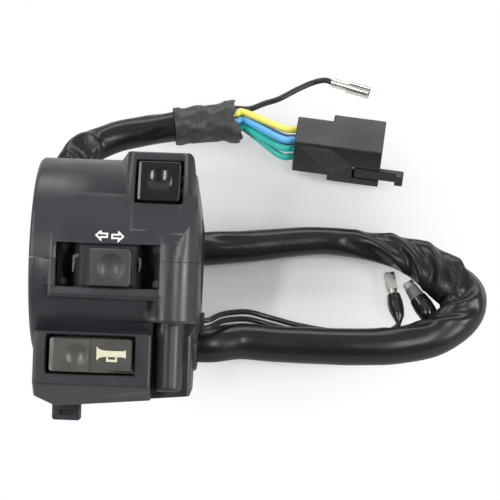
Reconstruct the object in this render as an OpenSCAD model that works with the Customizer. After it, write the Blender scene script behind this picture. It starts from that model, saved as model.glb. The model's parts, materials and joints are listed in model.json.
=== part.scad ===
// Left-hand handlebar switch cluster with its harness, lying on a table.
// The case is drawn in its own frame: x along the bar, y up its face, z out of its face.
// It is then tilted back about the bar, so that its lower back face lies on the table.

/* [Handlebar clamp] */
// Diameter of the handlebar
bar_d = 22.2; // [21.8:0.1:22.8]
// Clearance on the radius between the bar and the case
bar_clearance = 0.05; // [0:0.01:0.15]
// Wall of the tube round the bar
bore_wall = 1.8; // [1.4:0.1:2.2]

/* [Case] */
// Length of the bore along the bar
case_len = 39.4; // [39:0.1:42]
// Outer radius of the case round the bar
barrel_r = 25; // [24.5:0.5:27]
// Wall of the moulded case
wall = 2.2; // [1.8:0.1:2.4]
// Gap between the two halves of the case
seam_gap = 0.1; // [0.05:0.05:0.4]
// Rounding of the left end of the case
left_round = 1.2; // [1:0.1:4]
// Rounding of the right end of the case
right_round = 9; // [6:0.5:10]
// Distance from the bar axis to the flat back
back_z = 19; // [18:0.5:20]
// Height of the switch plateau over the barrel
face_rise = 0.2; // [0.1:0.1:0.6]
// Depth of the case below the bar axis
bottom_depth = 36.6; // [35.5:0.1:38]
// Rise of the bottom edge from left to right, in degrees
bottom_slope = 5.6; // [4:0.1:6]
// Radius of the screw tower at the right
tower_r = 7.3; // [6.5:0.1:8]
// Distance of the tower's lower end below the bar axis
tower_drop = 14.8; // [13.5:0.1:15.5]
// Angle at which the case lies back on the table
case_tilt = 30; // [26:1:34]

/* [Turn slider] */
// Length of the slider window
turn_win_w = 24.7; // [24:0.1:26]
// Height of the slider window
turn_win_h = 10.6; // [10.2:0.1:11.4]
// Centre of the slider window along the bar
turn_x = -2.5; // [-3:0.1:-2]
// Centre of the slider window above the bar axis
turn_y = -1.4; // [-2:0.1:-1]
// Width of the slider knob
knob_w = 11.7; // [11:0.1:12]
// Height of the slider knob
knob_h = 9.4; // [8.8:0.1:9.6]
// How far the knob stands out of the face
knob_proud = 2.4; // [1.8:0.1:3.2]
// Travel of the slider to each side
turn_travel = 3.6; // [3:0.1:3.8]
// Travel of the knob when it is pressed to cancel
cancel_travel = 1.2; // [0.8:0.1:1.4]

/* [Dimmer rocker] */
// Side of the square dimmer window
dim_win = 11.4; // [11:0.1:12]
// Centre of the dimmer along the bar
dim_x = 9; // [8.7:0.1:9.3]
// Distance of the dimmer's centre up its pod
dim_y = 10.7; // [10.4:0.1:10.9]
// Tilt of the dimmer pod's face, in degrees
pod_tilt = 22; // [20:1:24]
// Width of the rocker cap
rocker_w = 10.4; // [9.6:0.1:10.6]
// Height of the rocker cap
rocker_h = 10.1; // [9.4:0.1:10.2]
// How far the rocker stands out of its pod
rocker_proud = 1.7; // [1.2:0.1:2.4]
// Diameter of the rocker's pivot pin
rocker_pin_d = 2; // [1.6:0.1:2.2]
// Angle between the rocker's two positions
rocker_tip = 7; // [5:0.5:7]

/* [Horn button] */
// Length of the horn window
horn_win_w = 21.3; // [20.8:0.1:21.8]
// Height of the horn window
horn_win_h = 9.3; // [9:0.1:9.6]
// Centre of the horn window along the bar
horn_x = -6; // [-6.2:0.05:-5.8]
// Centre of the horn window below the bar axis
horn_drop = 22.95; // [22.7:0.05:23.2]
// Distance from the bar axis to the horn block's face
horn_face_z = 22; // [21.6:0.1:22.6]
// How far the horn button stands out of its block
horn_proud = 1.3; // [0.8:0.1:1.8]
// Diameter of the horn button's pivot pin
horn_pin_d = 1.8; // [1.5:0.1:2]

/* [Screws] */
// Diameter of the clamp screws
screw_d = 3; // [2.6:0.1:3.2]
// Diameter of the clamp screw heads
screw_head_d = 4.6; // [4.2:0.1:4.7]
// Height of the clamp screw heads
screw_head_h = 2.4; // [2:0.1:3]
// Outer diameter of the screw columns
column_d = 5.6; // [5.4:0.1:5.8]

/* [Harness] */
// Diameter of the harness sleeve
sleeve_d = 9.2; // [8.8:0.1:9.2]
// Thickness of the tape round the end of the sleeve
tape_t = 0.5; // [0.3:0.05:0.55]
// Diameter of the coloured wires
wire_d = 1.6; // [1.4:0.1:1.7]
// Diameter of the black single lead
lead_d = 1.6; // [1.4:0.1:1.8]
// Diameter of the two thin leads
thin_d = 1.4; // [1.2:0.1:1.5]

/* [Connector] */
// Length of the connector's rear body
conn_rear_l = 9.6; // [8:0.1:11]
// Depth of the rear body
conn_rear_w = 10; // [9.4:0.1:10.8]
// Height of the rear body
conn_rear_h = 11.5; // [11:0.1:12]
// Length of the connector's shroud
conn_front_l = 14.2; // [13:0.1:16]
// Depth of the shroud
conn_front_w = 12.4; // [12:0.1:13.4]
// Height of the shroud
conn_front_h = 13.6; // [13.2:0.1:14.4]
// Wall of the shroud
conn_wall = 1.4; // [1.1:0.1:1.6]
// Reach of the latch arm past the shroud
latch_reach = 6.4; // [5:0.1:8]

/* [Hidden] */
$fn = 64;

// Small fits shared by every piece
eps = 0.01;
big = 200;
seat = 0.1;
running = 0.04;
slide_fit = 0.2;
hole_fit = 0.15;
cut = 1;

// Case levels
bore_r = bar_d / 2 + bar_clearance;
tube_r = bore_r + bore_wall;
half_len = case_len / 2;
left_lip = 1.75;
left_x = -half_len - left_lip;
left_recess = 1;
face_z = barrel_r + face_rise;
floor_z = -barrel_r;
inner_corner = 0.4;

// Plateau of the turn slider, set by its window and the rim round it
plate_rim_left = 1.9;
plate_rim_right = 1.1;
plate_rim_top = 3.9;
plate_rim_bottom = 2.8;
plate_x0 = turn_x - turn_win_w / 2 - plate_rim_left;
plate_x1 = turn_x + turn_win_w / 2 + plate_rim_right;
plate_y0 = turn_y - turn_win_h / 2 - plate_rim_bottom;
plate_y1 = turn_y + turn_win_h / 2 + plate_rim_top;
plate_flat = 0.3;
plate_sink = 0.15;
plate_slope_y = turn_y + turn_win_h / 2 + plate_flat;

// Tower at the right of the face
tower_back = 0.1;
tower_x = half_len - tower_r - tower_back;
tower_z = face_z - tower_r;
tower_y0 = -tower_drop;
tower_y1 = 16;
tower_under_pod = 0.05;

// Pod of the dimmer, in its own tilted frame
pod_rise = 0.2;
pod_z = barrel_r + pod_rise;
pod_rim_left = 2;
pod_rim_right = 2.4;
pod_rim_top = 2.4;
pod_lo = -2.6;
pod_back = 6;
pod_left_flare = 4.4;
pod_left_foot_z = 12;
pod_right_foot_z = 16;
pod_edge = 1.2;
pod_edge_right = 1.8;
pod_right_slant = 7.8;
pod_lean = 0.36;
pod_end_back = 0.16;
pod_left = dim_x - dim_win / 2 - pod_rim_left;
pod_right = dim_x + dim_win / 2 + pod_rim_right;
pod_hi = dim_y + dim_win / 2 + pod_rim_top;

// Horn block and lower body
horn_y = -horn_drop;
block_rim_top = 0.9;
block_rim_left = 3.25;
block_rim_bottom = 2.8;
block_rim_right = 4;
block_left = horn_x - horn_win_w / 2 - block_rim_left;
block_right = horn_x + horn_win_w / 2 + block_rim_right;
block_hi = horn_y + horn_win_h / 2 + block_rim_top;
block_lo = horn_y - horn_win_h / 2 - block_rim_bottom;
bottom_y = -bottom_depth;
bevel_depth = 7;
body_root_y = -8;
low_right_x = 18.1;
low_right_z = 12.5;
low_right_lip = 3;
corner_cut = 5.3;
corner_rise = 3.2;
boss_rise = 4.9;
boss_r = 3.5;
boss_side = 0.7;

// Clamp screws: the front one runs up the visible boss, the rear one behind the bar
front_screw_out = 1;
front_screw_in = 2.4;
front_screw_x = tower_x + front_screw_out;
front_screw_z = tower_z - front_screw_in;
front_head_rise = 8;
front_head_y = bottom_y + front_head_rise;
front_tip_y = 8.4;
rear_screw_x = -8;
rear_screw_z = column_d / 2 + seat - back_z;
rear_head_y = -13;
rear_tip_y = 11;
column_cap = 1;
column_web = 2;
drive_w = 0.9;
drive_l = 3.4;
drive_depth = 1.2;

// Tab under the case
tab_w = 7.4;
tab_x = -12.9;
tab_drop = 4;
tab_t = 2.5;
tab_z = 1.5;
tab_root = 3;
tab_slot_w = 3.3;
tab_slot_h = 1.2;
tab_slot_depth = 1.6;

// Outlets of the harness and of the thin leads
outlet_y = -21;
outlet_z = -8.5;
outlet_x1 = 19;
outlet_x0 = 9;
grommet_wall = 0.95;
collar_wall = 1.4;
grommet_in = 7;
sleeve_in = 6;
thin_grommet_r = 2.35;
thin_y = -tube_r - thin_grommet_r - slide_fit;
thin_z = -1.5;
thin_pitch = 1.9;
thin_flange_r = 2.9;
thin_flange_t = 0.8;
thin_grommet_in = 3;

// Turn slider stack, upwards from the tube round the bar
tray_z0 = tube_r + seat;
tray_t = 1.6;
tray_wall = 1.2;
tray_over_x = 0.5;
tray_over_y = 1.6;
tray_half_x = turn_win_w / 2 + tray_over_x;
tray_half_y = turn_win_h / 2 + tray_over_y;
tray_inner_y = tray_half_y - tray_wall;
tray_z1 = tray_z0 + tray_t;
tray_rail_h = 5.6;
tray_edge_y = tray_half_y - turn_y;
tray_room = sqrt(pow(barrel_r - wall - seat, 2) - tray_edge_y * tray_edge_y);
tray_rail = min(tray_rail_h, tray_room - tray_z1);
pad_t = 0.4;
pad_w = 3;
pad_h = 2.4;
pad_pitch = 4;
blade_gap = 0.15;
blade_t = 0.5;
blade_w = 7.4;
carriage_z0 = tray_z1 + pad_t + blade_gap + blade_t;
carriage_h = 3.4;
clip_t = 0.4;
clip_lip = 0.9;
end_play = 0.25;
carriage_half_x = turn_win_w / 2 - turn_travel - clip_t - clip_lip - end_play;
carriage_half_y = tray_inner_y - slide_fit;
carriage_floor = 0.8;
flange_t = 1.2;
flange_in = 0.4;
flange_half_x = carriage_half_x - flange_in;
stem_w = 5;
stem_h = 4;
stem_bottom = carriage_z0 + carriage_floor + cancel_travel + seat;
flange_z0 = carriage_z0 + carriage_h + cancel_travel + seat;
stem_hole_r = 1.4;
stem_hole_rise = 0.6;
cap_corner = 1.2;
knob_side = 0.2;
knob_low = 0.35;
knob_dimple_side = 0.95;
knob_x = turn_x + knob_side;
knob_y = turn_y - knob_low;
knob_top = face_z + knob_proud;
knob_dimple_r = 3.1;
knob_dimple_d = 0.7;
clip_w = 3.2;
clip_rise = 1.6;
fastener_in_x = 1.15;
fastener_in_y = 1.1;
fastener_x = turn_win_w / 2 - fastener_in_x;
fastener_y = turn_win_h / 2 - fastener_in_y;
fastener_head_r = 0.9;
fastener_head_h = 0.6;
fastener_r = 0.65;
fastener_depth = 1.7;
tray_boss_r = 1.6;
tray_boss_depth = 2.6;

// Dimmer levels, in the pod's tilted frame
dim_pivot_depth = 6.4;
dim_pivot_z = pod_z - dim_pivot_depth;
dim_base_depth = 4.8;
dim_base_z0 = dim_pivot_z - dim_base_depth;
dim_base_t = 1.8;
dim_ear_t = 0.8;
dim_base_half_x = rocker_w / 2 + slide_fit + dim_ear_t;
dim_base_y0 = dim_y - dim_win / 2;
dim_base_y1 = dim_y + dim_win / 2;
dim_ear_half = 2.2;
dim_ear_rise = 1.7;
dim_ear_top = dim_pivot_z + dim_ear_rise;
rocker_hub_r = 2;
rocker_under_rise = 1.4;
rocker_under = dim_pivot_z + rocker_under_rise;
rocker_shift = 0.35;
rocker_dimple_r = 2.9;
rocker_dimple_d = 0.6;
rocker_pin_r = rocker_pin_d / 2;
dim_tip_r = 0.8;
dim_tip_l = 1.8;
dim_tip_reach = 3.3;
dim_closed_gap = 0.15;
dim_open_gap = 0.6;
leaf_t = 0.3;
leaf_w = 1.6;
leaf_x = 2.4;
leaf_half = 4.4;
leaf_crown = 1.6;
dim_rib_w = 2.4;
dim_rib_h = 5.2;
dim_screw_head_r = 1.1;
dim_screw_head_h = 0.8;
dim_screw_r = 0.7;
dim_screw_len = 2.2;

// Horn levels
horn_gap_left = 0.8;
horn_gap_right = 0.5;
horn_gap_top = 0.5;
horn_gap_bottom = 0.3;
horn_cap_x0 = horn_x - horn_win_w / 2 + horn_gap_left;
horn_cap_x1 = horn_x + horn_win_w / 2 - horn_gap_right;
horn_cap_y0 = horn_y - horn_win_h / 2 + horn_gap_bottom;
horn_cap_y1 = horn_y + horn_win_h / 2 - horn_gap_top;
horn_cap_sink = 1.8;
horn_under = horn_face_z - horn_cap_sink;
horn_cap_top = horn_face_z + horn_proud;
horn_step = 0.4;
horn_step_in = 9.8;
horn_step_x = horn_cap_x0 + horn_step_in;
horn_dimple_in = 6.8;
horn_dimple_x = horn_cap_x0 + horn_dimple_in;
horn_dimple_r = 2.6;
horn_dimple_d = 0.5;
horn_pivot_in = 1.6;
horn_pivot_drop = 1.8;
horn_pivot_x = horn_cap_x1 - horn_pivot_in;
horn_pivot_z = horn_under - horn_pivot_drop;
horn_pin_r = horn_pin_d / 2;
lug_half = 1.4;
lug_t = 1.4;
lug_side = 0.9;
lug_gap = 0.2;
horn_base_depth = 9.8;
horn_base_z0 = horn_pivot_z - horn_base_depth;
horn_base_t = 1.8;
horn_base_z1 = horn_base_z0 + horn_base_t;
body_root_z = horn_base_z1 + seat;
horn_base_over_x = 0.7;
horn_base_over_y = 0.4;
horn_base_x0 = max(horn_x - horn_win_w / 2 + slide_fit, block_left + wall + seat);
horn_base_x1 = horn_x + horn_win_w / 2 + horn_base_over_x;
horn_base_y0 = horn_y - horn_win_h / 2 - horn_base_over_y;
horn_base_y1 = horn_y + horn_win_h / 2 + horn_base_over_y;
horn_rib_w = 2;
horn_rib_h = 5.6;
horn_coil_in = 5.8;
horn_coil_x = horn_cap_x0 + horn_coil_in;
horn_coil_r = 2.2;
horn_coil_wire = 0.6;
horn_coil_turns = 5;
horn_tip_in = 12.2;
horn_tip_x = horn_cap_x0 + horn_tip_in;
horn_tip_r = 1;
horn_tip_l = 2;
horn_contact_r = 1.3;
horn_contact_gap = 0.95;
horn_screw_head_r = 1.2;
horn_screw_head_h = 0.9;
horn_screw_r = 0.85;
horn_screw_len = 4;
horn_screw_inset = 1.2;

// Cancel spring of the knob
cancel_coil_r = 1;
cancel_coil_wire = 0.35;
cancel_coil_turns = 4;
spring_clear = 0.03;
spring_sides = 6;
spring_rings = 8;

// Inner leads in the case frame, from each switch base to the harness outlet
inner_d = 2;
end_gap = 0.2;
inner_end_x = outlet_x1 - sleeve_in - end_gap;
inner_horn = [
    [-4, -23, horn_base_z0 - end_gap], [-4, -23, 5], [0, -22.6, -1.6], [6, -20.4, -6.6],
    [10, outlet_y + 1.8, outlet_z + 0.6], [inner_end_x, outlet_y + 1.8, outlet_z + 0.6]
];
inner_turn_z = tray_z0 + 1.2;
inner_turn = [
    [4, turn_y - tray_half_y - end_gap, inner_turn_z], [4, -9.5, inner_turn_z], [4, -10.5, inner_turn_z],
    [4, -13.4, 9],
    [4.4, -15.8, 2.4], [6.4, -18.4, -2.6], [9.4, -22, -7], [11, outlet_y - 1.7, outlet_z + 0.8],
    [inner_end_x, outlet_y - 1.7, outlet_z + 0.8]
];
inner_dim_y = 12;
inner_dim = [
    [9, 16.2, 3], [8.6, 15.6, -5], [8.2, 10, -12.6], [7.4, 0, -15.2], [6.2, -10, -14],
    [6, -16.6, -12], [8, -20.2, -11], [10.6, outlet_y + 0.2, outlet_z - 2.2],
    [inner_end_x, outlet_y + 0.2, outlet_z - 2.2]
];

// Harness sleeve on the table: x, y and height over the table
sleeve_r = sleeve_d / 2;
lie = 4.65;
tape_lie = 5.3;
sleeve_route = [
    [30, -11.6, 5.2], [40, -11.8, lie], [50, -11.9, lie], [60, -11.7, lie], [70, -10.9, lie],
    [79.4, -8.2, lie], [86.6, -2.2, lie], [88.4, 4.2, lie], [83.4, 10.4, lie], [75, 15.6, lie],
    [64, 18.4, lie], [52, 19.4, lie], [40, 18.4, lie], [28, 16.6, lie], [16, 15.4, lie],
    [4, 16, lie], [-8, 19.4, lie], [-16.6, 26.4, lie], [-19.6, 35, lie], [-16, 43.6, lie],
    [-7.5, 49.4, lie], [0.5, 52, 4.8], [8.5, 53.5, tape_lie], [16.5, 54.75, tape_lie], [24.5, 56, tape_lie]
];
tape_gap = 0.1;
tape_over = 1;
tape_l = 16;
fan_dir = unit([8, 1.25, 0]);
fan_side = cross([0, 0, 1], fan_dir);
fan_up = [0, 0, 1];
fan_straight = 4;

// Connector pose and pin grid
conn_pos = [41.8, 40.9, 0];
conn_yaw = -6.5;
conn_roll = 10;
conn_rear_back = 0;
conn_rear_up = conn_front_h - conn_rear_h;
conn_cavity_floor = 2.8;
conn_l = conn_rear_l + conn_front_l;
conn_lift = conn_front_w * sin(conn_roll) + 0.05;
pin_cols = [3, 7];
pin_rows = [4.8, 8, 11.2];
pin_w = 2.3;
pin_t = 0.8;
pin_fit = 0.05;
pin_start = 3;
pin_recess = 3.5;
wire_hole_fit = 0.1;
latch_root = 7;
latch_z = 3;
latch_h = 3.4;
latch_slot = 0.5;
latch_hook = 1.2;
latch_hook_l = 2.2;

// Black single lead with its socket terminal
black_side = 3;
black_up = 1.6;
black_route = [
    [30, 60, 6], [33.8, 63.8, 3.2], [38, 67, 1.2], [43, 70.6, 0.9], [47.4, 73, 1.1]
];
black_term_pos = [52.6, 72.9, 1.8];
black_term_yaw = -17;
crimp_l = 4.6;
crimp_wall = 0.35;
crimp_gap = 0.12;
crimp_in = 3;
lead_tail = 2;
socket_l = 6.4;
socket_r = 1.7;
socket_bore = 1.3;
socket_slot = 0.5;

// Thin leads that run beside the sleeve and end inside its loop
thin_route_a = [
    [25, -8, 12.8], [31, -4.3, 7.6], [37, -3.6, 3.7], [44, -4.2, 1.4], [52, -5.2, 0.75],
    [60, -5.6, 0.75], [66.5, -5.4, 0.75], [70.4, -3.6, 1], [70.9, -1.2, 1.35]
];
thin_route_b = [
    [25.4, -9.5, 12.1], [31.4, -5.7, 6.2], [37.6, -5.2, 2.4], [44.6, -6, 1], [52, -6.9, 0.75],
    [60, -7.4, 0.75], [67, -7, 0.75], [73.4, -5.4, 0.75], [78.4, -3, 1], [79.4, -1.2, 1.6]
];
thin_term_a_pos = [69.9, 4.2, 1.35];
thin_term_a_yaw = 100;
thin_term_b_pos = [77.4, 2.2, 2.05];
thin_term_b_yaw = 121;
thin_crimp_l = 3;
thin_crimp_in = 2;
thin_body_l = 5;
thin_body_w = 2.6;
thin_body_h = 1.8;
thin_body_wall = 0.35;
boot_clear_l = 6.4;
boot_clear_from = 0.6;
boot_wall = 0.3;
boot_gap = 0.1;
boot_black_l = 4.4;
boot_black_r = 1.25;

// Sweeping of cords and springs
cord_sides = 10;
thin_sides = 8;
wire_steps = 2;

function unit(v) = v / norm(v);
function spline(p, i, t) =
    let (a = p[max(i - 1, 0)])
    let (b = p[i])
    let (c = p[i + 1])
    let (d = p[min(i + 2, len(p) - 1)])
    0.5 * (2 * b + (c - a) * t + (2 * a - 5 * b + 4 * c - d) * t * t + (3 * b - a - 3 * c + d) * t * t * t);
function smooth(p, steps) = concat(
    [for (i = [0 : len(p) - 2]) for (k = [0 : steps - 1]) spline(p, i, k / steps)],
    [p[len(p) - 1]]
);
function tangent(p, i) = unit(p[min(i + 1, len(p) - 1)] - p[max(i - 1, 0)]);
function across(t) = unit(abs(t[2]) < 0.9 ? cross(t, [0, 0, 1]) : cross(t, [1, 0, 0]));
function carried(n, t) = unit(n - (n * t) * t);
function frames(p) = [
    for (
        i = 0, n = across(tangent(p, 0));
        i < len(p);
        i = i + 1, n = carried(n, tangent(p, min(i, len(p) - 1)))
    ) n
];
function ring(c, t, n, r, sides) = [
    for (k = [0 : sides - 1])
        c + r * (cos(360 * k / sides) * n + sin(360 * k / sides) * cross(t, n))
];
function wall_faces(rings, sides) = [
    for (i = [0 : rings - 2]) for (k = [0 : sides - 1]) for (h = [0, 1])
        let (a = i * sides + k)
        let (b = i * sides + (k + 1) % sides)
        h == 0 ? [a, a + sides, b] : [b, a + sides, b + sides]
];
function raised(p) = [for (q = p) [q[0], q[1], q[2] + floor_z]];

// One closed tube along a list of points
module tube(p, r, sides) {
    n = frames(p);
    rings = len(p);
    points = [for (i = [0 : rings - 1]) each ring(p[i], tangent(p, i), n[i], r, sides)];
    first = [for (k = [0 : sides - 1]) k];
    last = [for (k = [0 : sides - 1]) rings * sides - 1 - k];
    polyhedron(points = points, faces = concat(wall_faces(rings, sides), [first, last]));
}

// A round wire spring that stands on z = 0
module coil(r, wire, turns, height) {
    rings = turns * spring_rings;
    rise = height - wire - 2 * spring_clear;
    echo(spring_gap = rise / turns - wire);
    p = [
        for (i = [0 : rings])
            [r * cos(360 * i / spring_rings), r * sin(360 * i / spring_rings),
                wire / 2 + spring_clear + rise * i / rings]
    ];
    tube(p, wire / 2, spring_sides);
}

// Places the case frame on the table
module in_case() {
    rotate([case_tilt, 0, 0]) children();
}

// Places the dimmer pod's frame in the case frame
module in_pod() {
    rotate([-pod_tilt, 0, 0]) children();
}

function conn_turn(p) = [
    p[0],
    p[1] * cos(conn_roll) + p[2] * sin(conn_roll),
    -p[1] * sin(conn_roll) + p[2] * cos(conn_roll)
];
function conn_point(p) =
    let (q = conn_turn(p))
    [
        conn_pos[0] + q[0] * cos(conn_yaw) - q[1] * sin(conn_yaw),
        conn_pos[1] + q[0] * sin(conn_yaw) + q[1] * cos(conn_yaw),
        floor_z + conn_lift + q[2]
    ];

// Places the connector's frame on the table
module in_connector() {
    translate([conn_pos[0], conn_pos[1], floor_z + conn_lift])
        rotate([0, 0, conn_yaw])
        rotate([-conn_roll, 0, 0])
        children();
}

// Extrusions along the case's x and y
module along_x(x0, x1) {
    translate([x0, 0, 0]) rotate([90, 0, 90]) linear_extrude(x1 - x0) children();
}

module along_y(y0, y1) {
    translate([0, y1, 0]) rotate([90, 0, 0]) linear_extrude(y1 - y0) children();
}

module rod_x(x0, x1, y, z, r) {
    translate([x0, y, z]) rotate([0, 90, 0]) cylinder(h = x1 - x0, r = r);
}

module rod_y(y0, y1, x, z, r) {
    translate([x, y1, z]) rotate([90, 0, 0]) cylinder(h = y1 - y0, r = r);
}

module rod_z(z0, z1, x, y, r) {
    translate([x, y, z0]) cylinder(h = z1 - z0, r = r);
}

module block(lo, hi) {
    translate(lo) cube(hi - lo);
}

// Rectangle with round corners, between two corners
module round_rect(x0, y0, x1, y1, r) {
    translate([x0 + r, y0]) square([x1 - x0 - 2 * r, y1 - y0]);
    translate([x0, y0 + r]) square([x1 - x0, y1 - y0 - 2 * r]);
    for (x = [x0 + r, x1 - r], y = [y0 + r, y1 - r]) translate([x, y]) circle(r);
}

// Cap of a button with a round dimple in its top
module dimpled(x, y, top, dimple_r, dimple_d) {
    ball = (dimple_r * dimple_r + dimple_d * dimple_d) / (2 * dimple_d);
    difference() {
        children();
        translate([x, y, top + ball - dimple_d]) sphere(ball);
    }
}

// Outer form of the case, and its cavity when it is inset by the wall
module barrel_section(i) {
    lo = left_x + i;
    hi = half_len - i;
    r = barrel_r - i;
    c = max(left_round - i, inner_corner);
    d = right_round - i;
    translate([0, lo + c]) square([r, hi - lo - c - d]);
    translate([0, lo]) square([r - c, c]);
    translate([r - c, lo + c]) circle(c);
    translate([0, hi - d]) square([r - d, d]);
    intersection() {
        translate([r - d, hi - d]) circle(d);
        translate([0, lo]) square([r, hi - lo]);
    }
}

module barrel(i) {
    difference() {
        rotate([0, 90, 0]) rotate_extrude() barrel_section(i);
        block([-big, -big, -big], [big, big, -back_z + i]);
    }
}

module plateau(i) {
    r = barrel_r - i;
    y1 = plate_y1 - i;
    along_x(plate_x0 + i, plate_x1 - i) polygon([
        [plate_y0 + i, 0], [y1, 0], [y1, sqrt(r * r - y1 * y1) - plate_sink],
        [plate_slope_y - i / 2, face_z - i], [plate_y0 + i, face_z - i]
    ]);
}

module tower(i) {
    difference() {
        along_y(tower_y0 + i, tower_y1 - i) {
            translate([tower_x, tower_z]) circle(tower_r - i);
            translate([tower_x - tower_r + i, 0]) square([2 * (tower_r - i), tower_z]);
        }
        in_pod() block([-big, -big, pod_z - tower_under_pod - i], [big, big, big]);
    }
}

function pod_outline(i) = [
    [pod_left - pod_left_flare + i, pod_back],
    [pod_left - pod_left_flare + i, pod_left_foot_z],
    [pod_left + i - pod_lean, pod_z - i - pod_edge],
    [pod_left + i + pod_edge, pod_z - i],
    [pod_right - i - pod_edge_right, pod_z - i],
    [pod_right - i + pod_lean, pod_z - i - pod_edge_right],
    [half_len - pod_end_back - i, pod_right_foot_z],
    [half_len - pod_end_back - i, pod_back]
];

module pod(i) {
    in_pod() difference() {
        along_y(pod_lo + i, pod_hi - i) polygon(pod_outline(i));
        translate([pod_right - i / cos(pod_right_slant), pod_hi, 0]) rotate([0, 0, pod_right_slant])
            block([0, -big, -big], [big, big, big]);
    }
}

function rest_y(z, i) = (-(barrel_r - i) - cos(case_tilt) * z) / sin(case_tilt);
function rest_z(y, i) = (-(barrel_r - i) - sin(case_tilt) * y) / cos(case_tilt);

function low_outline(i) = [
    [body_root_y, -back_z + i],
    [rest_y(-back_z + i, i), -back_z + i],
    [bottom_y + i, rest_z(bottom_y + i, i)],
    [bottom_y + i, horn_face_z - bevel_depth - i],
    [block_lo + i, horn_face_z - i],
    [block_hi - i, horn_face_z - i],
    [block_hi - i, body_root_z],
    [body_root_y, body_root_z]
];

function right_outline(i) = [
    [body_root_y, -back_z + i],
    [rest_y(-back_z + i, i), -back_z + i],
    [bottom_y + i, rest_z(bottom_y + i, i)],
    [bottom_y + i, low_right_z - low_right_lip - i],
    [bottom_y + low_right_lip + i, low_right_z - i],
    [body_root_y, low_right_z - i]
];

module lower_body(i) {
    difference() {
        union() {
            along_x(block_left + i, block_right - i) polygon(low_outline(i));
            along_x(block_right - 2 * wall, low_right_x - i) polygon(right_outline(i));
        }
        translate([block_left, bottom_y + i, 0]) rotate([0, 0, bottom_slope])
            block([corner_cut, -big, -big], [big, 0, big]);
        translate([block_left + i, bottom_y + corner_rise + i, 0])
            rotate([0, 0, -atan(corner_rise / corner_cut)])
            block([-big, -big, -big], [corner_cut * 2, 0, big]);
    }
}

module notch(i) {
    block([block_right - i, -big, low_right_z - i], [big, tower_y0 + i, big]);
}

module case_form(i) {
    difference() {
        union() {
            barrel(i);
            lower_body(i);
        }
        notch(i);
    }
    plateau(i);
    tower(i);
    pod(i);
}

module front_boss() {
    rod_y(bottom_y + boss_rise, tower_y0 + wall, front_screw_x - boss_side, front_screw_z, boss_r);
}

module outlet_collar() {
    rod_x(outlet_x0, outlet_x1, outlet_y, outlet_z, sleeve_r + grommet_wall + collar_wall);
}

module tab() {
    difference() {
        block([tab_x - tab_w / 2, bottom_y - tab_drop, tab_z],
            [tab_x + tab_w / 2, bottom_y + tab_root, tab_z + tab_t]);
        block([tab_x - tab_slot_w / 2, bottom_y - tab_drop / 2 - tab_slot_h / 2,
            tab_z + tab_t - tab_slot_depth],
            [tab_x + tab_slot_w / 2, bottom_y - tab_drop / 2 + tab_slot_h / 2, tab_z + tab_t + cut]);
    }
}

// Solid columns round the clamp screws
module columns(front_y0, front_y1, rear_y0, rear_y1) {
    rod_y(front_y0, front_y1, front_screw_x, front_screw_z, column_d / 2);
    block([front_screw_x - column_web / 2, front_y0, tube_r - bore_wall / 2],
        [front_screw_x + column_web / 2, front_y1, front_screw_z]);
    rod_y(rear_y0, rear_y1, rear_screw_x, rear_screw_z, column_d / 2);
}

module turn_window() {
    block([turn_x - turn_win_w / 2, turn_y - turn_win_h / 2, tray_z0],
        [turn_x + turn_win_w / 2, turn_y + turn_win_h / 2, big]);
}

module dimmer_window() {
    in_pod() block([dim_x - dim_win / 2, dim_y - dim_win / 2, dim_base_z0],
        [dim_x + dim_win / 2, dim_y + dim_win / 2, big]);
}

module horn_window() {
    block([horn_x - horn_win_w / 2, horn_y - horn_win_h / 2, horn_base_z1],
        [horn_x + horn_win_w / 2, horn_y + horn_win_h / 2, big]);
}

module dimmer_ribs() {
    in_pod() for (s = [-1, 1])
        translate([dim_x + s * (dim_base_half_x - dim_rib_w / 2), 0, 0])
            block([-dim_rib_w / 2, dim_base_y0, dim_base_z0 - dim_rib_h],
                [dim_rib_w / 2, dim_base_y1, dim_base_z0]);
}

dim_screw_spots = [
    [dim_x - dim_base_half_x + dim_rib_w / 2, dim_base_y0 + dim_rib_w / 2],
    [dim_x + dim_base_half_x - dim_rib_w / 2, dim_base_y1 - dim_rib_w / 2]
];

horn_screw_spots = [
    [horn_base_x0 + horn_screw_inset, horn_base_y0 + horn_screw_inset],
    [horn_base_x1 - horn_screw_inset, horn_base_y0 + horn_screw_inset]
];

module horn_ribs() {
    for (x = [horn_base_x0, horn_base_x1 - horn_rib_w])
        block([x, bottom_y + wall / 2, horn_base_z0 - horn_rib_h],
            [x + horn_rib_w, horn_base_y1, horn_base_z0]);
}

module tray_bosses() {
    for (s = [-1, 1])
        rod_z(tray_z0 - tray_boss_depth, tray_z0, turn_x + s * fastener_x, turn_y - fastener_y, tray_boss_r);
}

// Upper half of the case, with the dimmer pod
module upper_case() {
    color([0.13, 0.13, 0.14]) in_case() difference() {
        intersection() {
            case_form(0);
            block([-big, seam_gap / 2, -big], [big, big, big]);
        }
        difference() {
            case_form(wall);
            rod_x(-big, big, 0, 0, tube_r);
            columns(-big, front_tip_y + column_cap, -big, rear_tip_y + column_cap);
            dimmer_ribs();
        }
        rod_x(-big, big, 0, 0, bore_r);
        rod_x(-big, -half_len, 0, 0, tube_r + left_recess);
        turn_window();
        dimmer_window();
        rod_y(-big, front_tip_y + seat, front_screw_x, front_screw_z, screw_d / 2 + running);
        rod_y(-big, rear_tip_y + seat, rear_screw_x, rear_screw_z, screw_d / 2 + running);
        in_pod() for (s = dim_screw_spots)
            rod_z(dim_base_z0 - dim_screw_len - seat, dim_base_z0 + seat, s[0], s[1],
                dim_screw_r + running);
    }
}

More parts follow.
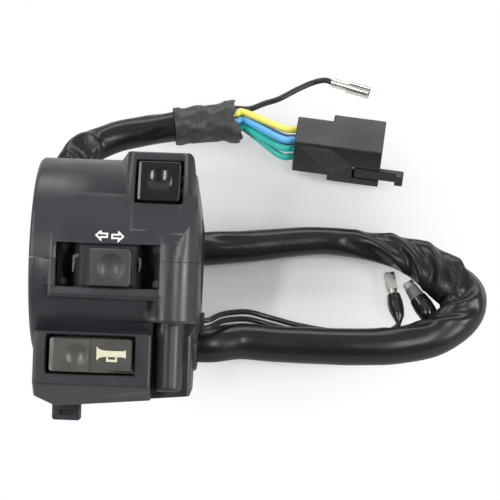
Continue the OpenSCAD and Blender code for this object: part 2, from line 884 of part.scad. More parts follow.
// Lower half of the case, with the horn block, the screw boss and the outlets
module lower_case() {
    color([0.12, 0.12, 0.13]) in_case() difference() {
        intersection() {
            union() {
                case_form(0);
                front_boss();
                outlet_collar();
                tab();
            }
            block([-big, -big, -big], [big, -seam_gap / 2, big]);
        }
        difference() {
            case_form(wall);
            rod_x(-big, big, 0, 0, tube_r);
            columns(-big, big, rear_head_y - column_cap, big);
            horn_ribs();
            tray_bosses();
            outlet_collar();
        }
        rod_x(-big, big, 0, 0, bore_r);
        rod_x(-big, -half_len, 0, 0, tube_r + left_recess);
        turn_window();
        horn_window();
        rod_y(-big, big, front_screw_x, front_screw_z, screw_d / 2 + hole_fit);
        rod_y(-big, big, rear_screw_x, rear_screw_z, screw_d / 2 + hole_fit);
        rod_y(-big, front_head_y, front_screw_x, front_screw_z, screw_head_d / 2 + hole_fit);
        rod_y(-big, rear_head_y, rear_screw_x, rear_screw_z, screw_head_d / 2 + hole_fit);
        rod_x(0, big, outlet_y, outlet_z, sleeve_r + grommet_wall + running);
        rod_x(half_len - thin_grommet_in - wall, big, thin_y, thin_z, thin_grommet_r + running);
        for (s = horn_screw_spots)
            rod_z(horn_base_z0 - horn_screw_len - seat, horn_base_z0 + seat, s[0], s[1],
                horn_screw_r + running);
        for (s = [-1, 1])
            rod_z(tray_z0 - fastener_depth - seat, tray_z0 + seat, turn_x + s * fastener_x,
                turn_y - fastener_y, fastener_r + running);
    }
}

// Clamp screw with a cross recess in its head, along the case's y
module clamp_screw(x, z, head_y, tip_y) {
    difference() {
        union() {
            rod_y(head_y, tip_y, x, z, screw_d / 2);
            rod_y(head_y - screw_head_h, head_y, x, z, screw_head_d / 2);
        }
        for (a = [0, 90]) translate([x, head_y - screw_head_h, z]) rotate([0, a, 0])
            translate([-drive_l / 2, -cut, -drive_w / 2])
            cube([drive_l, drive_depth + cut, drive_w]);
    }
}

module clamp_screw_front() {
    color([0.62, 0.62, 0.6]) in_case()
        clamp_screw(front_screw_x, front_screw_z, front_head_y, front_tip_y);
}

module clamp_screw_rear() {
    color([0.62, 0.62, 0.6]) in_case()
        clamp_screw(rear_screw_x, rear_screw_z, rear_head_y, rear_tip_y);
}

// Tray that carries the slider, seated on the tube round the bar
module turn_base() {
    color([0.05, 0.05, 0.05]) in_case() difference() {
        block([turn_x - tray_half_x, turn_y - tray_half_y, tray_z0],
            [turn_x + tray_half_x, turn_y + tray_half_y, tray_z1 + tray_rail]);
        block([turn_x - big, turn_y - tray_inner_y, tray_z1], [turn_x + big, turn_y + tray_inner_y, big]);
        for (s = [-1, 1], t = [-1, 1])
            rod_z(-big, big, turn_x + s * fastener_x, turn_y + t * fastener_y, fastener_r + running);
    }
}

module turn_fasteners() {
    color([0.7, 0.7, 0.68]) in_case() for (s = [-1, 1], t = [-1, 1]) {
        tail = t < 0 ? fastener_depth : -seat;
        rod_z(tray_z0 - tail, tray_z1 + eps, turn_x + s * fastener_x, turn_y + t * fastener_y, fastener_r);
        rod_z(tray_z1, tray_z1 + fastener_head_h, turn_x + s * fastener_x, turn_y + t * fastener_y,
            fastener_head_r);
    }
}

module turn_contacts() {
    color([0.75, 0.6, 0.25]) in_case() for (s = [-1, 0, 1])
        block([turn_x + s * pad_pitch - pad_w / 2, turn_y - pad_h / 2, tray_z1],
            [turn_x + s * pad_pitch + pad_w / 2, turn_y + pad_h / 2, tray_z1 + pad_t]);
}

module turn_blade() {
    color([0.8, 0.65, 0.3]) in_case()
        block([turn_x - blade_w / 2, turn_y - pad_h / 2, carriage_z0 - blade_t],
            [turn_x + blade_w / 2, turn_y + pad_h / 2, carriage_z0]);
}

module turn_carriage() {
    color([0.08, 0.08, 0.08]) in_case() difference() {
        block([turn_x - carriage_half_x, turn_y - carriage_half_y, carriage_z0],
            [turn_x + carriage_half_x, turn_y + carriage_half_y, carriage_z0 + carriage_h]);
        translate([turn_x, turn_y, 0])
            block([-stem_w / 2 - slide_fit, -stem_h / 2 - slide_fit, carriage_z0 + carriage_floor],
                [stem_w / 2 + slide_fit, stem_h / 2 + slide_fit, big]);
    }
}

module turn_knob() {
    color([0.3, 0.3, 0.3]) in_case() difference() {
        dimpled(knob_x + knob_dimple_side, knob_y, knob_top, knob_dimple_r, knob_dimple_d) union() {
            translate([0, 0, flange_z0]) linear_extrude(knob_top - flange_z0)
                round_rect(knob_x - knob_w / 2, knob_y - knob_h / 2, knob_x + knob_w / 2,
                    knob_y + knob_h / 2, cap_corner);
            block([turn_x - flange_half_x, turn_y - knob_h / 2, flange_z0],
                [turn_x + flange_half_x, turn_y + knob_h / 2, flange_z0 + flange_t]);
            block([turn_x - stem_w / 2, turn_y - stem_h / 2, stem_bottom],
                [turn_x + stem_w / 2, turn_y + stem_h / 2, flange_z0 + eps]);
        }
        rod_z(0, flange_z0 + stem_hole_rise, turn_x, turn_y, stem_hole_r);
    }
}

module turn_cancel_spring() {
    color([0.75, 0.75, 0.75]) in_case()
        translate([turn_x, turn_y, carriage_z0 + carriage_floor])
        coil(cancel_coil_r, cancel_coil_wire, cancel_coil_turns,
            flange_z0 + stem_hole_rise - carriage_z0 - carriage_floor);
}

// Bright spring clips at the two ends of the carriage
module turn_detent_clips() {
    top = carriage_z0 + carriage_h + clip_rise;
    color([0.9, 0.9, 0.88]) in_case() translate([turn_x, turn_y, 0]) for (s = [0, 1]) mirror([s, 0, 0]) {
        block([carriage_half_x, -clip_w / 2, carriage_z0 + clip_t],
            [carriage_half_x + clip_t, clip_w / 2, top]);
        block([carriage_half_x, -clip_w / 2, top - clip_t],
            [carriage_half_x + clip_t + clip_lip, clip_w / 2, top]);
    }
}

module dimmer_base() {
    color([0.35, 0.22, 0.12]) in_case() in_pod() difference() {
        union() {
            block([dim_x - dim_base_half_x, dim_base_y0, dim_base_z0],
                [dim_x + dim_base_half_x, dim_base_y1, dim_base_z0 + dim_base_t]);
            for (s = [0, 1]) translate([s * (2 * dim_base_half_x - dim_ear_t), 0, 0])
                block([dim_x - dim_base_half_x, dim_y - dim_ear_half, dim_base_z0],
                    [dim_x - dim_base_half_x + dim_ear_t, dim_y + dim_ear_half, dim_ear_top]);
        }
        rod_x(-big, big, dim_y, dim_pivot_z, rocker_pin_r + running);
        for (s = dim_screw_spots) rod_z(-big, big, s[0], s[1], dim_screw_r + running);
    }
}

// The rocker lies over to its lower side
module rocked() {
    translate([0, dim_y, dim_pivot_z]) rotate([rocker_tip, 0, 0]) translate([0, -dim_y, -dim_pivot_z])
        children();
}

module dimmer_rocker() {
    cap_y = dim_y + rocker_shift;
    top = pod_z + rocker_proud;
    color([0.03, 0.03, 0.03]) in_case() in_pod() rocked() difference() {
        dimpled(dim_x, cap_y, top, rocker_dimple_r, rocker_dimple_d) union() {
            translate([0, 0, rocker_under]) linear_extrude(top - rocker_under)
                round_rect(dim_x - rocker_w / 2, cap_y - rocker_h / 2, dim_x + rocker_w / 2,
                    cap_y + rocker_h / 2, cap_corner);
            rod_x(dim_x - rocker_w / 2, dim_x + rocker_w / 2, dim_y, dim_pivot_z, rocker_hub_r);
        }
        rod_x(-big, big, dim_y, dim_pivot_z, rocker_pin_r + running);
    }
}

module dimmer_pin() {
    color([0.7, 0.7, 0.7]) in_case() in_pod()
        rod_x(dim_x - dim_base_half_x, dim_x + dim_base_half_x, dim_y, dim_pivot_z, rocker_pin_r);
}

module dimmer_tips() {
    color([0.85, 0.7, 0.35]) in_case() in_pod() rocked() for (s = [-1, 1])
        rod_z(rocker_under - dim_tip_l, rocker_under, dim_x, dim_y + s * dim_tip_reach, dim_tip_r);
}

module dimmer_contacts() {
    low = rocker_under - dim_tip_l;
    color([0.8, 0.62, 0.25]) in_case() in_pod() for (s = [-1, 1])
        rod_z(dim_base_z0 + dim_base_t, low - (s > 0 ? dim_closed_gap : dim_open_gap), dim_x,
            dim_y + s * dim_tip_reach, dim_tip_r);
}

// Bowed leaf that presses on the rocker's hub
module dimmer_detent_leaf() {
    z0 = dim_base_z0 + dim_base_t;
    crown = dim_pivot_z - rocker_hub_r - hole_fit;
    color([0.8, 0.8, 0.78]) in_case() in_pod() for (s = [-1, 1])
        along_x(dim_x + s * leaf_x - leaf_w / 2, dim_x + s * leaf_x + leaf_w / 2) polygon([
            [dim_y - leaf_half, z0], [dim_y - leaf_half + leaf_crown, z0],
            [dim_y - leaf_crown / 2, crown - leaf_t], [dim_y + leaf_crown / 2, crown - leaf_t],
            [dim_y + leaf_half - leaf_crown, z0], [dim_y + leaf_half, z0],
            [dim_y + leaf_half, z0 + leaf_t], [dim_y + leaf_half - leaf_crown + leaf_t, z0 + leaf_t],
            [dim_y + leaf_crown / 2, crown], [dim_y - leaf_crown / 2, crown],
            [dim_y - leaf_half + leaf_crown - leaf_t, z0 + leaf_t], [dim_y - leaf_half, z0 + leaf_t]
        ]);
}

module dimmer_screws() {
    z = dim_base_z0 + dim_base_t;
    color([0.7, 0.7, 0.68]) in_case() in_pod() for (s = dim_screw_spots) {
        rod_z(dim_base_z0 - dim_screw_len, z + eps, s[0], s[1], dim_screw_r);
        rod_z(z, z + dim_screw_head_h, s[0], s[1], dim_screw_head_r);
    }
}

lug_low = [horn_cap_y0 + lug_side, horn_cap_y0 + lug_side + lug_t];
lug_high = [horn_cap_y1 - lug_side - lug_t, horn_cap_y1 - lug_side];

module horn_base() {
    color([0.35, 0.22, 0.12]) in_case() difference() {
        union() {
            block([horn_base_x0, horn_base_y0, horn_base_z0], [horn_base_x1, horn_base_y1, horn_base_z1]);
            block([horn_pivot_x - lug_half, lug_low[1] + lug_gap, horn_base_z0],
                [horn_pivot_x + lug_half, lug_high[0] - lug_gap, horn_pivot_z + lug_half]);
        }
        rod_y(-big, big, horn_pivot_x, horn_pivot_z, horn_pin_r + running);
        for (s = horn_screw_spots) rod_z(-big, big, s[0], s[1], horn_screw_r + running);
    }
}

module horn_button() {
    color([0.2, 0.2, 0.17]) in_case() difference() {
        dimpled(horn_dimple_x, horn_y, horn_cap_top + horn_step, horn_dimple_r, horn_dimple_d) union() {
            block([horn_cap_x0, horn_cap_y0, horn_under], [horn_cap_x1, horn_cap_y1, horn_cap_top]);
            block([horn_cap_x0, horn_cap_y0, horn_under],
                [horn_step_x, horn_cap_y1, horn_cap_top + horn_step]);
            for (y = [lug_low, lug_high]) {
                rod_y(y[0], y[1], horn_pivot_x, horn_pivot_z, lug_half);
                block([horn_pivot_x - lug_half, y[0], horn_pivot_z],
                    [horn_pivot_x + lug_half, y[1], horn_under + eps]);
            }
        }
        rod_y(-big, big, horn_pivot_x, horn_pivot_z, horn_pin_r + running);
    }
}

module horn_pin() {
    color([0.7, 0.7, 0.7]) in_case()
        rod_y(lug_low[0], lug_high[1], horn_pivot_x, horn_pivot_z, horn_pin_r);
}

module horn_spring() {
    color([0.75, 0.75, 0.75]) in_case() translate([horn_coil_x, horn_y, horn_base_z1])
        coil(horn_coil_r, horn_coil_wire, horn_coil_turns, horn_under - horn_base_z1);
}

module horn_tip() {
    color([0.85, 0.7, 0.35]) in_case()
        rod_z(horn_under - horn_tip_l, horn_under, horn_tip_x, horn_y, horn_tip_r);
}

module horn_contact() {
    color([0.8, 0.62, 0.25]) in_case()
        rod_z(horn_base_z1, horn_under - horn_tip_l - horn_contact_gap, horn_tip_x, horn_y, horn_contact_r);
}

module horn_screws() {
    color([0.7, 0.7, 0.68]) in_case() for (s = horn_screw_spots) {
        rod_z(horn_base_z0 - horn_screw_len, horn_base_z1 + eps, s[0], s[1], horn_screw_r);
        rod_z(horn_base_z1, horn_base_z1 + horn_screw_head_h, s[0], s[1], horn_screw_head_r);
    }
}

module inner_leads() {
    dim_start = [
        from_pod([dim_x, inner_dim_y, dim_base_z0 - end_gap]),
        from_pod([dim_x, inner_dim_y, dim_base_z0 - 2 * inner_d])
    ];
    color([0.1, 0.1, 0.1]) in_case() {
        tube(smooth(inner_horn, wire_steps), inner_d / 2, thin_sides);
        tube(smooth(inner_turn, wire_steps), inner_d / 2, thin_sides);
        tube(smooth(concat(dim_start, inner_dim), wire_steps), inner_d / 2, thin_sides);
    }
}

// Rubber grommet that the sleeve runs into
module harness_grommet() {
    color([0.05, 0.05, 0.05]) in_case() difference() {
        rod_x(outlet_x1 - grommet_in, outlet_x1, outlet_y, outlet_z, sleeve_r + grommet_wall);
        rod_x(-big, big, outlet_y, outlet_z, sleeve_r + seat);
    }
}

// A point of the pod's frame in the case frame
function from_pod(p) = [
    p[0],
    p[1] * cos(pod_tilt) + p[2] * sin(pod_tilt),
    p[2] * cos(pod_tilt) - p[1] * sin(pod_tilt)
];

// A point of the case frame on the table
function from_case(p) = [
    p[0],
    p[1] * cos(case_tilt) - p[2] * sin(case_tilt),
    p[1] * sin(case_tilt) + p[2] * cos(case_tilt)
];

module harness_sleeve() {
    start = [
        from_case([outlet_x1 - sleeve_in, outlet_y, outlet_z]),
        from_case([outlet_x1 - sleeve_in / 2, outlet_y, outlet_z]),
        from_case([outlet_x1 + sleeve_in / 2, outlet_y, outlet_z])
    ];
    color([0.06, 0.06, 0.06])
        tube(concat(start, raised(sleeve_route)), sleeve_r, cord_sides);
}

module sleeve_tape() {
    end = sleeve_route[len(sleeve_route) - 1] + [0, 0, floor_z] + tape_over * fan_dir;
    color([0.09, 0.09, 0.09])
        translate(end - tape_l * fan_dir)
        rotate([0, 90, atan2(fan_dir[1], fan_dir[0])]) difference() {
            cylinder(h = tape_l, r = sleeve_r + tape_gap + tape_t);
            translate([0, 0, -cut]) cylinder(h = tape_l + 2 * cut, r = sleeve_r + tape_gap);
        }
}

// A coloured wire from the end of the sleeve to its place in the connector
module fan_wire(side, up, col, row) {
    end = sleeve_route[len(sleeve_route) - 1] + [0, 0, floor_z];
    start = end + side * fan_side + up * fan_up + end_gap * fan_dir;
    out = [for (x = [0, fan_straight / 2, fan_straight]) start + x * fan_dir];
    hole = [for (x = [-fan_straight, 0, pin_start]) conn_point([x, pin_cols[col], pin_rows[row]])];
    tube(concat(out, hole), wire_d / 2, thin_sides);
}

module wire_yellow() {
    color([0.75, 0.62, 0.1]) fan_wire(0.6, 2.9, 1, 2);
}

module wire_sky() {
    color([0.35, 0.6, 0.75]) fan_wire(-1.3, 1.8, 0, 2);
}

module wire_blue() {
    color([0.1, 0.15, 0.4]) fan_wire(1, -0.2, 1, 1);
}

module wire_green_a() {
    color([0.1, 0.4, 0.35]) fan_wire(-2.8, 0.2, 0, 1);
}

module wire_violet() {
    color([0.15, 0.1, 0.25]) fan_wire(0.8, -2.4, 1, 0);
}

module wire_green_b() {
    color([0.1, 0.4, 0.35]) fan_wire(-1.6, -1.9, 0, 0);
}

module connector_housing() {
    rear_z0 = conn_rear_up;
    x1 = conn_rear_l;
    cavity_x = x1 + conn_cavity_floor;
    color([0.05, 0.05, 0.06]) in_connector() difference() {
        union() {
            block([0, conn_rear_back, rear_z0], [x1 + eps, conn_rear_back + conn_rear_w, conn_front_h]);
            block([x1, 0, 0], [conn_l, conn_front_w, conn_front_h]);
        }
        block([cavity_x, conn_wall, conn_wall],
            [conn_l + cut, conn_front_w - conn_wall, conn_front_h - conn_wall]);
        for (y = pin_cols, z = pin_rows) {
            rod_x(-cut, pin_start, y, z, wire_d / 2 + wire_hole_fit);
            block([pin_start - eps, y - pin_w / 2 - pin_fit, z - pin_t / 2 - pin_fit],
                [cavity_x + cut, y + pin_w / 2 + pin_fit, z + pin_t / 2 + pin_fit]);
        }
        block([conn_l - latch_root - latch_slot, -cut, latch_z - latch_slot],
            [conn_l + cut, conn_wall + cut, latch_z + latch_h + latch_slot]);
    }
}

// Latch arm in the slot of the shroud's front wall, on a rounded root
module connector_latch() {
    root_x = conn_l - latch_root;
    tip_x = conn_l + latch_reach;
    color([0.06, 0.06, 0.07]) in_connector() {
        block([root_x + conn_wall / 2, 0, latch_z], [tip_x, conn_wall, latch_z + latch_h]);
        rod_z(latch_z, latch_z + latch_h, root_x + conn_wall / 2, conn_wall / 2, conn_wall / 2);
        block([tip_x - latch_hook_l, -latch_hook, latch_z], [tip_x, eps, latch_z + latch_h]);
    }
}

module connector_pins() {
    color([0.8, 0.78, 0.7]) in_connector() for (y = pin_cols, z = pin_rows)
        block([pin_start, y - pin_w / 2, z - pin_t / 2], [conn_l - pin_recess, y + pin_w / 2, z + pin_t / 2]);
}

function term_point(p, yaw, x) = [p[0] + x * cos(yaw), p[1] + x * sin(yaw), p[2]];

module in_terminal(p, yaw) {
    translate([p[0], p[1], p[2] + floor_z]) rotate([0, 0, yaw]) children();
}

module crimp(d, l) {
    difference() {
        rod_x(0, l, 0, 0, d / 2 + crimp_gap + crimp_wall);
        rod_x(-cut, l + cut, 0, 0, d / 2 + crimp_gap);
    }
}

module black_lead() {
    end = sleeve_route[len(sleeve_route) - 1];
    start = end + black_side * fan_side + black_up * fan_up + end_gap * fan_dir;
    tail = [
        term_point(black_term_pos, black_term_yaw, -lead_tail),
        term_point(black_term_pos, black_term_yaw, 0),
        term_point(black_term_pos, black_term_yaw, crimp_in)
    ];
    out = [start, start + fan_straight / 2 * fan_dir];
    color([0.05, 0.05, 0.05]) tube(raised(concat(out, black_route, tail)), lead_d / 2, thin_sides);
}

module black_terminal() {
    color([0.75, 0.74, 0.7]) in_terminal(black_term_pos, black_term_yaw) {
        crimp(lead_d, crimp_l + eps);
        difference() {
            rod_x(crimp_l, crimp_l + socket_l, 0, 0, socket_r);
            rod_x(crimp_l + crimp_wall, big, 0, 0, socket_bore);
            block([crimp_l + 2 * crimp_wall, -socket_slot / 2, 0], [big, socket_slot / 2, big]);
            rod_x(crimp_l - cut, big, 0, 0, lead_d / 2 + crimp_gap);
        }
    }
}

module lead_grommet() {
    color([0.05, 0.05, 0.05]) in_case() difference() {
        union() {
            rod_x(half_len - thin_grommet_in, half_len + eps, thin_y, thin_z, thin_grommet_r);
            rod_x(half_len, half_len + thin_flange_t, thin_y, thin_z, thin_flange_r);
        }
        for (s = [-1, 1])
            rod_x(-big, big, thin_y + s * thin_pitch / 2, thin_z, thin_d / 2 + seat);
    }
}

module thin_lead(s, route, p, yaw) {
    start = [
        from_case([half_len - thin_grommet_in, thin_y + s * thin_pitch / 2, thin_z]),
        from_case([half_len + 2 * thin_flange_t, thin_y + s * thin_pitch / 2, thin_z])
    ];
    tail = [term_point(p, yaw, -lead_tail), term_point(p, yaw, 0), term_point(p, yaw, thin_crimp_in)];
    tube(concat(start, raised(concat(route, tail))), thin_d / 2, thin_sides);
}

module thin_lead_a() {
    color([0.05, 0.05, 0.05]) thin_lead(1, thin_route_a, thin_term_a_pos, thin_term_a_yaw);
}

module thin_lead_b() {
    color([0.05, 0.05, 0.05]) thin_lead(-1, thin_route_b, thin_term_b_pos, thin_term_b_yaw);
}

// Flat receptacle with a crimp barrel
module receptacle() {
    crimp(thin_d, thin_crimp_l + eps);
    difference() {
        block([thin_crimp_l, -thin_body_w / 2, -thin_body_h / 2],
            [thin_crimp_l + thin_body_l, thin_body_w / 2, thin_body_h / 2]);
        block([thin_crimp_l + thin_body_wall, thin_body_wall - thin_body_w / 2, thin_body_wall - thin_body_h / 2],
            [big, thin_body_w / 2 - thin_body_wall, thin_body_h / 2 - thin_body_wall]);
        rod_x(thin_crimp_l - cut, thin_crimp_l + cut, 0, 0, thin_d / 2 + crimp_gap);
    }
}

module thin_terminal_a() {
    color([0.85, 0.83, 0.75]) in_terminal(thin_term_a_pos, thin_term_a_yaw) receptacle();
}

module thin_terminal_b() {
    color([0.85, 0.83, 0.75]) in_terminal(thin_term_b_pos, thin_term_b_yaw) receptacle();
}

module boot_clear() {
    inner = norm([thin_body_w, thin_body_h]) / 2 + boot_gap;
    color([0.8, 0.82, 0.85, 0.4]) in_terminal(thin_term_b_pos, thin_term_b_yaw) difference() {
        rod_x(boot_clear_from, boot_clear_from + boot_clear_l, 0, 0, inner + boot_wall);
        rod_x(-big, big, 0, 0, inner);
    }
}

module boot_black() {
    color([0.05, 0.05, 0.05]) in_terminal(thin_term_a_pos, thin_term_a_yaw) difference() {
        rod_x(-boot_black_l, -boot_gap, 0, 0, boot_black_r);
        rod_x(-big, big, 0, 0, thin_d / 2 + 2 * boot_gap);
    }
}

upper_case();
lower_case();
clamp_screw_front();
clamp_screw_rear();
turn_base();
turn_fasteners();
turn_contacts();
turn_blade();
turn_carriage();
turn_knob();
turn_cancel_spring();
turn_detent_clips();
dimmer_base();
dimmer_rocker();
dimmer_pin();
dimmer_tips();
dimmer_contacts();
dimmer_detent_leaf();
dimmer_screws();
horn_base();
horn_button();
horn_pin();
horn_spring();
horn_tip();
horn_contact();
horn_screws();
inner_leads();
harness_grommet();
harness_sleeve();
sleeve_tape();
wire_yellow();
wire_sky();
wire_blue();
wire_green_a();
wire_violet();
wire_green_b();
connector_housing();
connector_latch();
connector_pins();
black_lead();
black_terminal();
lead_grommet();
thin_lead_a();
thin_lead_b();
thin_terminal_a();
thin_terminal_b();
boot_clear();
boot_black();
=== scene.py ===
import json
import math

import bmesh
import bpy
import numpy as np
from mathutils import Matrix, Vector


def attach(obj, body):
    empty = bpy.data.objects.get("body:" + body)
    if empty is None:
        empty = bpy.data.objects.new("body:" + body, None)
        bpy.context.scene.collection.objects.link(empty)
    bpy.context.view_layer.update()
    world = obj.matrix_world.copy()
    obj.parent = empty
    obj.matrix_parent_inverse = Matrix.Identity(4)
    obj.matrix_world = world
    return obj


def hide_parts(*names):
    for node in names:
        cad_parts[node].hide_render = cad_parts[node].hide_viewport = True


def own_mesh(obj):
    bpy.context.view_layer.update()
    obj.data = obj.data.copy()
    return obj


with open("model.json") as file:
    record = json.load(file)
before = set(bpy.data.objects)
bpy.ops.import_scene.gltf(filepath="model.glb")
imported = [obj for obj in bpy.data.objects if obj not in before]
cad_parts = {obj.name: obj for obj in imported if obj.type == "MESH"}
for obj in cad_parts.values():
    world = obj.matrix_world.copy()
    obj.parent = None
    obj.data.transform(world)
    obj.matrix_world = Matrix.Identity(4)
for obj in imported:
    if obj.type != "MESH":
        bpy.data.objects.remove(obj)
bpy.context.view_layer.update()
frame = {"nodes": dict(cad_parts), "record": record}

bl_info = {
    "name": "Handlebar Switch Cluster",
    "version": (1, 0, 0),
    "blender": (4, 5, 0),
    "location": "3D View > Sidebar > Switch Cluster",
    "description": "Dresses the switch cluster's frame: case, caps, signs, harness, connector and leads",
    "category": "Add Mesh",
}

# Everything is worked out in millimetres and put into meshes in metres.
MM = 0.001
TABLE = -25.0
CASE_TILT = 30.0
POD_TILT = 22.0
SKIN = 0.1  # how far the rounded case form lies inside the solids
SAME_POINT = 1e-7  # points closer than this, in metres, are one
LEVEL_ANGLE = 0.3  # faces that meet at less than this, in degrees, are one
SPAN_STEPS = 30  # samples of a curve between two of its points
RESTING = 0.03  # clearance of soft pieces over the table

# Levels of the case, in its own frame: x along the bar, y up the face, z out of the face
BARREL_R = 25.0
LEFT_X = -21.45
RIGHT_X = 19.7
BACK_Z = -19.0
FACE_Z = 25.2
FACE_BEND = 4.2
FACE_SLOPE = 0.444
FACE_ROUND = 15.0
HORN_FACE_Z = 22.0
POD_Z = 25.2
ROCKER_PIVOT = np.array([0, 10.7, 18.8])
ROCKER_TIP = 7.0
TURN_WINDOW = (-14.85, -6.7, 9.85, 3.9)
DIMMER_WINDOW = (3.3, 5.0, 14.7, 16.4)
HORN_WINDOW = (-16.65, -27.6, 4.65, -18.3)

# Camera and table, in metres and degrees; the table lies a hair under the object
SENSOR = 36
CAMERA_PLACE = (0.0314, -0.2344, 0.4131)
CAMERA_TILT = 30
CAMERA_ROLL = 2.1
TABLE_HALF = 3
TABLE_DROP = 0.0001

# Softboxes: place, the point they face, size, the setting of their power and their share of it
LAMPS = {
    "key_left": ((-0.18, -0.165, 0.435), (0, 0, 0), (0.27, 0.035), "key_power", 1),
    "key_right": ((0.22, -0.165, 0.435), (0.02, 0, 0), (0.27, 0.035), "key_power", 1),
    "side_left": ((-0.43, -0.022, 0.299), (0, 0, 0), (0.5, 0.1), "side_power", 1.2),
    "side_right": ((0.45, -0.135, 0.234), (0.02, -0.01, 0), (0.24, 0.1), "side_power", 1),
    "back": ((0.03, 0.52, 0.27), (0.03, 0.02, 0), (0.2, 0.8), "back_power", 1),
    "panel": ((0.03, 0.19, 0.517), (0.03, 0, 0), (0.3, 0.8), "panel_power", 1),
}

# Harness routes, as in the solids: x, y and height over the table
SLEEVE_START = [[13, -21, -8.5], [16, -21, -8.5], [22, -21, -8.5]]
SLEEVE_ROUTE = [
    [30, -11.6, 5.2], [40, -11.8, 4.65], [50, -11.9, 4.65], [60, -11.7, 4.65], [70, -10.9, 4.65],
    [79.4, -8.2, 4.65], [86.6, -2.2, 4.65], [88.4, 4.2, 4.65], [83.4, 10.4, 4.65], [75, 15.6, 4.65],
    [64, 18.4, 4.65], [52, 19.4, 4.65], [40, 18.4, 4.65], [28, 16.6, 4.65], [16, 15.4, 4.65],
    [4, 16, 4.65], [-8, 19.4, 4.65], [-16.6, 26.4, 4.65], [-19.6, 35, 4.65], [-16, 43.6, 4.65],
    [-7.5, 49.4, 4.65], [0.5, 52, 4.8], [8.5, 53.5, 5.3], [16.5, 54.75, 5.3], [24.5, 56, 5.3],
]
SLEEVE_END = np.array([24.5, 56, 5.3 + TABLE])
FAN_DIR = np.array([8, 1.25, 0]) / math.hypot(8, 1.25)
FAN_SIDE = np.cross([0, 0, 1], FAN_DIR)
UP = np.array([0, 0, 1.0])
CONN_POS = np.array([41.8, 40.9, TABLE + 12.4 * math.sin(math.radians(10)) + 0.05])
CONN_ROLL = -10.0
CONN_YAW = -6.5
FAN_WIRES = {
    "wire_yellow": (0.6, 2.9, 7, 11.2), "wire_sky": (-1.3, 1.8, 3, 11.2),
    "wire_blue": (1.0, -0.2, 7, 8.0), "wire_green_a": (-2.8, 0.2, 3, 8.0),
    "wire_violet": (0.8, -2.4, 7, 4.8), "wire_green_b": (-1.6, -1.9, 3, 4.8),
}
BLACK_ROUTE = [[30, 60, 6], [33.8, 63.8, 3.2], [38, 67, 1.2], [43, 70.6, 0.9], [47.4, 73, 1.1]]
BLACK_TERMINAL = ([52.6, 72.9, 1.8], -17, 3)
THIN_START_A = [[16.7, -14.55, -1.5], [21.3, -14.55, -1.5]]
THIN_START_B = [[16.7, -16.45, -1.5], [21.3, -16.45, -1.5]]
THIN_ROUTE_A = [
    [25, -8, 12.8], [31, -4.3, 7.6], [37, -3.6, 3.7], [44, -4.2, 1.4], [52, -5.2, 0.75],
    [60, -5.6, 0.75], [66.5, -5.4, 0.75], [70.4, -3.6, 1], [70.9, -1.2, 1.35],
]
THIN_ROUTE_B = [
    [25.4, -9.5, 12.1], [31.4, -5.7, 6.2], [37.6, -5.2, 2.4], [44.6, -6, 1], [52, -6.9, 0.75],
    [60, -7.4, 0.75], [67, -7, 0.75], [73.4, -5.4, 0.75], [78.4, -3, 1], [79.4, -1.2, 1.6],
]
THIN_TERMINAL_A = ([69.9, 4.2, 1.35], 100, 2)
THIN_TERMINAL_B = ([77.4, 2.2, 2.05], 121, 2)

# Folds of the crumpled bend: start and end as (mm along the sleeve from the tightest point, degrees round it,
# 0 on the loop's inner side and 90 on top), depth and width in mm
FOLD_R = 4.6
BEND_FOLDS = np.array([
    [13, 0, 31, 140, 1.5, 1.9], [5, 0, 22, 135, 2.0, 1.9], [-4, 0, 13, 130, 2.0, 1.8], [-11, 0, 5, 125, 1.8, 1.7],
    [-17, 0, -5, 110, 1.3, 1.5], [-27, 24, -12, 66, 0.6, 1.4], [0, 138, 9, 172, 0.8, 1.2], [22, 0, 36, 60, 0.7, 1.8],
])

# Springs: node, body, joint, centre, coil radius, wire, turns, foot, top and the share of height when pressed
SPRINGS = {
    "knob_spring": ("turn_cancel_spring", "slider", "cancel_press", (-2.5, -1.4), 1, 0.35, 4, 16.56, 20.95, 0.72),
    "horn_coil": ("horn_spring", "case", "horn_press", (-10.05, -22.95), 2.2, 0.6, 5, 10.47, 20.14, 0.82),
}


def linear(red, green, blue):
    """A colour read as 0 to 255 from a screen, as linear light."""
    c = np.array([red, green, blue]) / 255
    return tuple(np.where(c <= 0.04045, c / 12.92, ((c + 0.055) / 1.055) ** 2.4))


def colour(name, about, value):
    """A colour that a user may change."""
    return bpy.props.FloatVectorProperty(
        name=name, description=about, default=value, size=3, min=0, max=1, subtype="COLOR")


def length(name, about, value):
    """A length that a user may change, in metres."""
    return bpy.props.FloatProperty(name=name, description=about, default=value, min=0, unit="LENGTH")


def power(name, about, value):
    """A lamp's power that a user may change, in watts."""
    return bpy.props.FloatProperty(name=name, description=about, default=value, min=0, unit="POWER")


class ClusterCase(bpy.types.PropertyGroup):
    """Case, caps and signs."""

    edge: length("Case edges", "Rounding of the case's outer edges", 0.0007)
    rim: length("Window rims", "Width of the bevel round the switch windows", 0.0004)
    plastic: colour("Case plastic", "Satin moulded case", (0.028, 0.028, 0.034))
    knob: colour("Slider knob", "Smoky slider knob", (0.036, 0.036, 0.038))
    rocker: colour("Dimmer rocker", "Glossy dimmer rocker", (0.011, 0.011, 0.012))
    horn: colour("Horn button", "Olive grey horn button", (0.07, 0.068, 0.06))
    sign: colour("Arrow print", "Printed turn arrows", (0.86, 0.86, 0.86))
    horn_sign: colour("Horn print", "Printed horn sign", (0.66, 0.64, 0.46))


